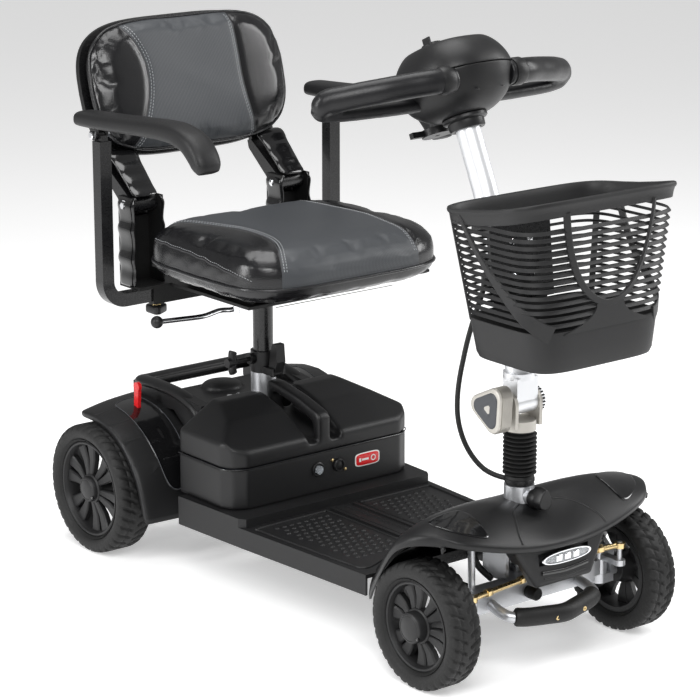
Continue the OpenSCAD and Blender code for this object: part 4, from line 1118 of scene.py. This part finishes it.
def side_phi(y, z, side):
    _, l, cy = basket_size(z)
    s = max(-1.0, min(1.0, (y - cy) / l))
    a = degrees(asin(copysign(abs(s) ** (BASKET_CORNER / 2), s)))
    return a if side > 0 else 180 - a


U_BAND = [(-80, 722), (-77, 696), (-70, 662), (-56, 628), (-36, 602), (-12, 586), (8, 581), (30, 586),
          (52, 603),
          (70, 632), (82, 666), (90, 698), (93, 722)]
line = spline([(x, 0, z) for x, z in U_BAND], 5)
parts.append(band([(front_phi(p.x, p.z), p.z) for p in line], 5.2))
# web between the U and the skirt
web = []
for k in range(9):
    z = 546 + 4.6 * k
    w = 26 + 62 * ((8 - k) / 8) ** 2.4
    ring = [basket_at(front_phi(x, z), z, 0.9 if i < 9 else -2.6)
            for i,
            x in enumerate([8 + w * (j - 4) / 4 for j in range(9)] + [8 + w * (4 - j) / 4 for j in range(9)])]
    web.append(ring)
parts.append(skin(web))
for side in (-1, 1):
    sweep = [(-418, 706), (-430, 684), (-448, 655), (-472, 624), (-500, 598), (-526, 576), (-546, 560),
             (-556, 548)]
    line = spline([(0, y, z) for y, z in sweep], 5)
    widths = [5.4 + 14 * max(0, (i / len(line)) - 0.4) for i in range(len(line))]
    parts.append(band([(side_phi(p.y, p.z, side), p.z) for p in line], widths))
    # rib at the back corner
    phi = 32 if side > 0 else 148
    parts.append(band([(phi, z) for z in range(546, 706, 12)], 4.6))
# back plate behind the bolts
parts.append(band([(90, z) for z in range(546, 700, 8)], 46, 3.0))
shape = merge(parts)
obj = add("basket_louvres", shape, "tiller", BASKET)
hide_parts("basket")
bolts = []
for x in (-18, 18):
    for z in (590, 640):
        _, l, cy = basket_size(z)
        y = cy + l - 3.4
        bolts += [lathe([(TINY, -3.4), (3.2, -3.0), (4.4, -2.0), (5.2, -1.4), (5.2, 0.4), (TINY, 0.4)],
                        (x, y, z), "y", 20)]
add("basket_bolts", merge(bolts), "tiller", CHROME)


# ---------- cable ----------

CABLE = [(-25, -330, 612), (-28, -336, 590), (-35, -338, 565), (-43, -335, 538), (-50, -330, 510),
         (-55, -325, 482),
         (-58, -320, 454), (-60, -315, 426), (-60, -311, 398), (-58, -309, 370), (-53, -310, 344),
         (-46, -315, 320),
         (-37, -324, 299), (-28, -337, 284), (-20, -353, 277), (-14, -368, 275)]
line = spline(CABLE, 4)
cable = add("harness_cable", tube(line, 3.95, n=18), None, RUBBER, slot="cable")
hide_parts("cable")
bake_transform(cable)
cable_length = sum((b - a).length for a, b in zip(line, line[1:])) * MM
tuple(c * MM for c in CABLE[0])


# ---------- upholstery ----------

BACK_AT, BACK_LEAN = Vector((0, 402, 660)), radians(15.3)


def back(x, w, v):
    """Point of the backrest: w behind its front face, v up its slope."""
    c, s = cos(BACK_LEAN), sin(BACK_LEAN)
    return Vector((x, BACK_AT.y + w * c + v * s, BACK_AT.z - w * s + v * c))


def back_ring(inset, w, n=96):
    ring = []
    for t in circle(n):
        u, v = oblong_at(t, 205 - inset, 121 - inset, 4, 3.6)
        ring.append(back(u * (1 - 0.06 * ((v - 9) / 120) ** 2), w, v + 121))
    return ring


def seat_ring(w, l, z, p=4.5, n=96):
    return [(x, 168 + y, z) for x, y in oblong(w, l, p, n)]


SEAT_SEAMS = ([(-20, -160), (16, -142), (92, -105), (173, -92), (224, -106), (295, -136), (356, -172)],
              [(-20, 123), (60, 125), (154, 142), (242, 134), (356, 123)])
BACK_SEAMS = ([(660, -140), (668, -138), (719, -115), (766, -99), (806, -97), (839, -108), (880, -133),
               (896, -144)],
              [(660, 114), (666, 113), (712, 102), (763, 94), (821, 93), (882, 92), (896, 92)])
BACK_NORMAL = (0, -cos(BACK_LEAN), sin(BACK_LEAN))
SEAT_COVER = upholstery("seat_cover", "Y", *SEAT_SEAMS, normal=(0, 0, 1), above=0.513)
BACK_COVER = upholstery("back_cover", "Z", *BACK_SEAMS, normal=BACK_NORMAL,
                        above=Vector(BACK_NORMAL).dot(back(0, 17, 0)) * MM)


VOXEL, PUFF_STEPS, MOST_PUFF = 5.0, 20, 7.0      # even mesh and puffing of the cushions


def cushion(name, rings, body, mat):
    """Closed pad, remeshed evenly and puffed up by a short cloth simulation that is applied to its mesh."""
    obj = add(name, skin(rings), body, mat)
    remesh(obj, VOXEL)
    bpy.context.view_layer.update()
    even = bpy.data.meshes.new_from_object(obj.evaluated_get(bpy.context.evaluated_depsgraph_get()))
    obj.modifiers.clear()
    obj.data = even
    count = len(even.vertices)
    start = np.empty(count * 3)
    even.vertices.foreach_get("co", start)
    start = start.reshape(-1, 3)
    final = start.copy()
    puff = modify(obj, "CLOTH")
    puff.settings.quality = 4
    puff.settings.use_pressure = True
    puff.settings.uniform_pressure_force = 4.0
    puff.settings.effector_weights.gravity = 0.0
    puff.point_cache.frame_start, puff.point_cache.frame_end = 1, PUFF_STEPS
    for step in range(1, PUFF_STEPS + 1):
        bpy.context.scene.frame_set(step)
    puffed = obj.evaluated_get(bpy.context.evaluated_depsgraph_get())
    shaped = puffed.to_mesh()
    end = np.empty(count * 3)
    shaped.vertices.foreach_get("co", end)
    puffed.to_mesh_clear()
    move = end.reshape(-1, 3) - start
    size = np.linalg.norm(move, axis=1, keepdims=True)
    final = start + move * np.minimum(1.0, MOST_PUFF * MM / np.maximum(size, 1e-9))
    obj.modifiers.clear()
    bpy.context.scene.frame_set(1)
    return obj, final


def set_points(obj, points):
    obj.data.vertices.foreach_set("co", points.astype(np.float32).ravel())
    obj.data.update()
    smooth(obj.data)
    modify(obj, "SUBSURF", levels=1, render_levels=1)


def pull_in(points, along, table, depth, spread, where):
    """Sinks a channel under a seam: table gives x at each place along an axis; where picks the top side."""
    line = spline([(a, b, 0) for a, b in table], 8)
    xs = np.interp(points[:, along] / MM, [p.x for p in line], [p.y for p in line])
    gap = (points[:, 0] / MM - xs) / spread
    return np.where(where, depth * np.exp(-gap * gap), 0.0)


def sewn(name, tree, seams, place, direction):
    """Dark cord in each seam with two rows of light stitches on the woven side."""
    cords, rows = [], []
    for table, sign in zip(seams, (1, -1)):
        path, normals = on_surface(tree, [place(a, b) for a, b in table], direction, 12)
        cords.append(tube([p - n * 0.9 for p, n in zip(path, normals)], 1.5, n=8))
        sign = copysign(1, (path[1] - path[0]).cross(normals[0]).x * sign)
        for shift in (4.0, 8.4):
            moved = [p + ((path[min(i + 1, len(path) - 1)] - path[max(i - 1,
                                                                      0)]).cross(normals[i])).normalized()
                     * shift * sign for i, p in enumerate(path)]
            spots = [nearest(tree, p) for p in moved]
            rows.append(stitches(*zip(*spots), 3.4, 2.0, 0.55, lift=0.3))
    add(name + "_seam_cords", merge(cords), name, DARK_THREAD)
    add(name + "_stitches", merge(rows), name, THREAD)


def piped(name, tree, ring, stitch_ring):
    """Piping round a cushion's edge, with a fine dark seam beside it."""
    radius = 2.6
    line = [p + n * radius * 0.45 for p, n in (nearest(tree, p) for p in ring)]
    add(name + "_piping", tube(line, radius, n=12, closed=True), name, PIPING)
    spots = [nearest(tree, p) for p in stitch_ring + stitch_ring[:1]]
    add(name + "_edge_stitches", stitches(*zip(*spots), 3.2, 2.4, 0.4), name, DARK_THREAD)


# seat
side_rows = [seat_ring(w, l, z, p) for w, l, z, p in
             ((182, 158, 490, 4.5), (200, 175, 496, 4.5), (206, 180, 508, 4.5), (206, 180, 534, 4.5),
              (203, 177, 550, 4.5), (194, 168, 561, 4.4), (174, 150, 566, 4.2))]
top_rows = [[(x * t, 168 + (y - 168) * t, 566 + 3.5 * (1 - t * t)) for x, y, z in side_rows[-1]]
            for t in (0.9, 0.75, 0.55, 0.3, 0.06)]
seat, pts = cushion("seat_pad", side_rows + top_rows, "seat", SEAT_COVER)
top_side = pts[:, 2] > 0.548
x_mm, y_mm = pts[:, 0] / MM, pts[:, 1] / MM
# sides stay a little proud of the woven middle, and the front edge rolls down
dish = 5.0 * np.exp(-(x_mm / 95) ** 2) * np.exp(-((y_mm - 190) / 110) ** 2)
roll = 14.0 * np.clip((70 - y_mm) / 90, 0, 1) ** 2
sink = sum(pull_in(pts, 1, t, 2.6, 5.0, top_side) for t in SEAT_SEAMS)
pts[:, 2] -= np.where(pts[:, 2] > 0.53, (dish + roll) * (pts[:, 2] - 0.53) / 0.04, 0) * MM + sink * MM
# soft folds in the vinyl on the two sides
fold = 1.1 * np.sin(y_mm / 13 + pts[:, 2] / MM / 9) * np.clip((np.abs(x_mm) - 188) / 16, 0, 1)
pts[:, 0] -= np.sign(pts[:, 0]) * np.abs(fold) * MM
pts[:, 2] = np.maximum(pts[:, 2], 0.4885)
set_points(seat, pts)
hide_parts("seat_cushion")
tree = surface_of(seat)
sewn("seat", tree, SEAT_SEAMS, lambda a, b: (b, a, 640), DOWN)
piped("seat", tree, seat_ring(213, 187, 512), seat_ring(213, 187, 519, n=160))
# side gusset seam from the back corner down to the front
for side, tag in SIDES:
    gusset = spline([(side * 214, 318, 556), (side * 214, 250, 556), (side * 214, 170, 550),
                     (side * 214, 90, 540),
                     (side * 212, 20, 524)], 14)
    spots = [nearest(tree, p) for p in gusset]
    add("seat_gusset_" + tag, tube([p - n * 0.3 for p, n in spots], 1.1, n=8), "seat", DARK_THREAD)
    moved = [nearest(tree, Vector(p) + Vector((0, 0, 4))) for p, n in spots]
    add("seat_gusset_stitches_" + tag, stitches(*zip(*moved), 3.2, 2.0, 0.42),
        "seat", THREAD)

# backrest
rows = [back_ring(i, w) for i, w in ((26, 46), (12, 44), (7, 36), (6, 26), (8, 15), (15, 8), (26, 5))]
middle = back(0, 0, 121)
rows += [[tuple(middle + (Vector(p) - middle) * t + Vector(BACK_NORMAL) * 2.0 * (1 - t)) for p in rows[-1]]
         for t in (0.9, 0.72, 0.5, 0.28, 0.06)]
back_pad, pts = cushion("back_pad", rows, "back", BACK_COVER)
normal = np.array(BACK_NORMAL)
depth = (pts - np.array(back(0, 0, 0)) * MM) @ normal
front = depth > -0.012
sink = sum(pull_in(pts, 2, t, 2.6, 5.0, front) for t in BACK_SEAMS)
height = (pts[:, 2] / MM - 660) / 240
hollow = 5.0 * np.exp(-(pts[:, 0] / MM / 85) ** 2) * np.exp(-((height - 0.5) / 0.3) ** 2)
pts -= normal * ((sink + np.where(front, hollow, 0)) * MM)[:, None]
behind = np.maximum(0, -0.0465 - (pts - np.array(back(0, 0, 0)) * MM) @ normal)
pts += normal * behind[:, None]
set_points(back_pad, pts)
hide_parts("back_cushion")
tree = surface_of(back_pad)
sewn("back", tree, BACK_SEAMS, lambda a, b: (b, 250, a), (0, 1, 0))
piped("back", tree, back_ring(-2, 16, 128), back_ring(-4, 24, 180))
rear = []
for i, w in ((13, 58), (9, 58), (5.5, 56), (4.5, 52), (6, 47.2)):
    rear.append(back_ring(i, w))
flat = [[tuple(back(0, 58, 121) + (Vector(p) - back(0, 58, 121)) * t) for p in rear[0]] for t in (0.04, 0.5,
                                                                                                  0.9)]
add("back_shell", skin(flat + rear), "back", SHELL)

# ---------- backrest struts ----------

for side, tag in SIDES:
    rows = []
    for k in range(15):
        z = 456 + 10.6 * k
        puff = 1.2 * sin(k * 1.7) + (3.5 if k in (4, 9, 13) else 0) - (5 if k == 14 else 0)
        x0, x1, y1 = 121 - puff, 185 + puff, 404 + puff
        rows.append([(side * x, y, z) for x, y in ((x0 + 5, 360 - puff * 0.4), (x0 + 1, 361), (x0, 368),
                                                   (x0, 385),
                                                   (x0, 398), (x0 + 5, y1), (x0 + 16, y1 + 1), (153, y1 + 2),
                                                   (x1 - 16, y1 + 1), (x1 - 5, y1), (x1, 398), (x1, 385),
                                                   (x1, 368),
                                                   (x1 - 1, 361), (x1 - 5, 360 - puff * 0.4))])
    add("strut_cover_" + tag, skin(rows, closed=False, caps=False), "seat", SHELL_GLOSS, sub=2, solid=-1.2)
    pad = []
    for k in range(13):
        t = k / 12
        base = Vector((0, 366, 604)).lerp(back(0, 33, 22), t)
        wide = 24 + (3 * sin(k * 1.4) + 6) * max(0, t - 0.35)
        thick = 6 + 2.2 * sin(k * 1.9)
        pad.append([(side * 153 + x, base.y + y, base.z) for x, y in oblong(wide, thick, 2.8, 32)])
    add("strut_sleeve_" + tag, skin(pad), "back", SHELL_GLOSS, sub=1)
    bolt = merge([lathe([(TINY, 0), (6.5, 0), (6.5, 3.5), (5.5, 4.5), (TINY, 4.5)],
                        (side * 185.5, 383, 590), "x", 6,
                        flip=side),
                  lathe([(9, -1), (9, 0.6), (TINY, 0.6)], (side * 185.5, 383, 590), "x", 24, flip=side),
                  lathe([(TINY, 0), (6, 0), (6, 3), (4, 5), (TINY, 5.5)], (side * 120.5, 383, 590), "x", 24,
                        flip=-side)])
    add("hinge_bolt_" + tag, bolt, "seat", CHROME)


# ---------- armrests ----------

PAD = [(414, 738, 19, 8, 0), (413, 738, 22, 11, 0), (408, 738, 24, 13, 0), (340, 741, 25, 14, 0),
       (260, 746, 25, 14.5, -3),
       (190, 750, 25, 15.5, 0), (150, 749.5, 25, 16.5, 9), (122, 744, 25, 17, 26), (104, 736, 25, 17.5, 40),
       (88, 722, 24.5, 17.5, 55), (78, 708, 23, 15, 64), (73, 698, 17, 9, 66)]
for side, tag in SIDES:
    lo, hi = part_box("arm_pad_" + tag)
    mid = (lo[0] + hi[0]) / 2 / MM
    keys = list(zip(spline([p[:3] for p in PAD], 4), spline([(p[3], p[4], 0) for p in PAD], 4)))
    rings = []
    for (y, z, w), (h, tilt, _) in keys:
        a = radians(tilt)
        rings.append([(mid + x, y - q * sin(a), z + q * cos(a)) for x, q in oblong(w, h, 2.9, 40)])
    obj = add("arm_rest_" + tag, skin(rings), "pad_" + tag[0], ARM_FOAM, sub=1)
    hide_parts("arm_pad_" + tag)
    bottom = tube([(mid, 404, 727), (mid, 340, 728.5), (mid, 262, 733)], 8, n=16, flat=0.3, up=(1, 0, 0))
    ears = [bottom]
    for x in (-12, 6.3):
        ears.append(prism([(366, 731), (384, 731), (384, 716), (381.4, 709.6), (375, 707), (368.6, 709.6),
                           (366, 716)], "x",
                          mid + x, mid + x + 5.7))
    add("arm_bracket_" + tag, merge(ears), "pad_" + tag[0], PAINT, bevel=0.8)
    nuts = merge([lathe([(TINY, -17.5), (4, -17.5), (4, 18.5), (TINY, 18.5)], (mid, 375, 716), "x", 24),
                  lathe([(TINY, 12.2), (6.8, 12.2), (6.8, 17), (5.6, 18), (TINY, 18)], (mid, 375, 716), "x",
                        6),
                  lathe([(TINY, -12.2), (6.8, -12.2), (6.8, -16), (5.2, -17.4), (TINY, -17.4)],
                        (mid, 375, 716), "x", 6)])
    add("arm_nuts_" + tag, nuts, "pad_" + tag[0], CHROME)
    rings = []
    for z, grow in ((404, 0.86), (405.2, 0.96), (407, 1.0), (415, 1.0), (417, 0.95), (418, 0.85)):
        rings.append([(side * 135 + a * grow, 368 + b * grow, z) for a, b in tri_outline(12, 7.2)])
    obj = add("arm_knob_" + tag, skin(rings), "seat", KNOB)
    bolt = merge([lathe([(TINY, 416), (8, 416), (8, 419.5), (5, 420.5), (TINY, 420.5)],
                        (side * 135, 368, 0), "z", 6),
                  lathe([(TINY, 419), (4, 419), (4, 424), (TINY, 424)], (side * 135, 368, 0), "z", 20)])
    add("arm_knob_bolt_" + tag, bolt, "seat", BRASS)
    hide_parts("arm_knobs")

# swivel lever: bent chrome rod with a black ball
rod = merge([tube(spline([(-75, 222, 444), (-75, 223, 433), (-84, 226, 429), (-104, 233, 429),
                          (-141, 226, 427),
                          (-182, 233, 427), (-214, 240, 427)], 8), 4.2, n=16),
             lathe([(7, 424), (7, 451), (TINY, 451)], (-75, 222, 0), "z", 32)])
obj = add("swivel_rod", rod, "swivel_latch", CHROME)
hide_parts("swivel_lever")
ball = [(TINY, -10.2)] + [(10.2 * cos(radians(a)), 10.2 * sin(radians(a))) for a in range(-80, 85, 8)]
add("swivel_ball", lathe(ball + [(TINY, 10.2)], (-222, 241, 427), "z", 32), "swivel_latch", KNOB)
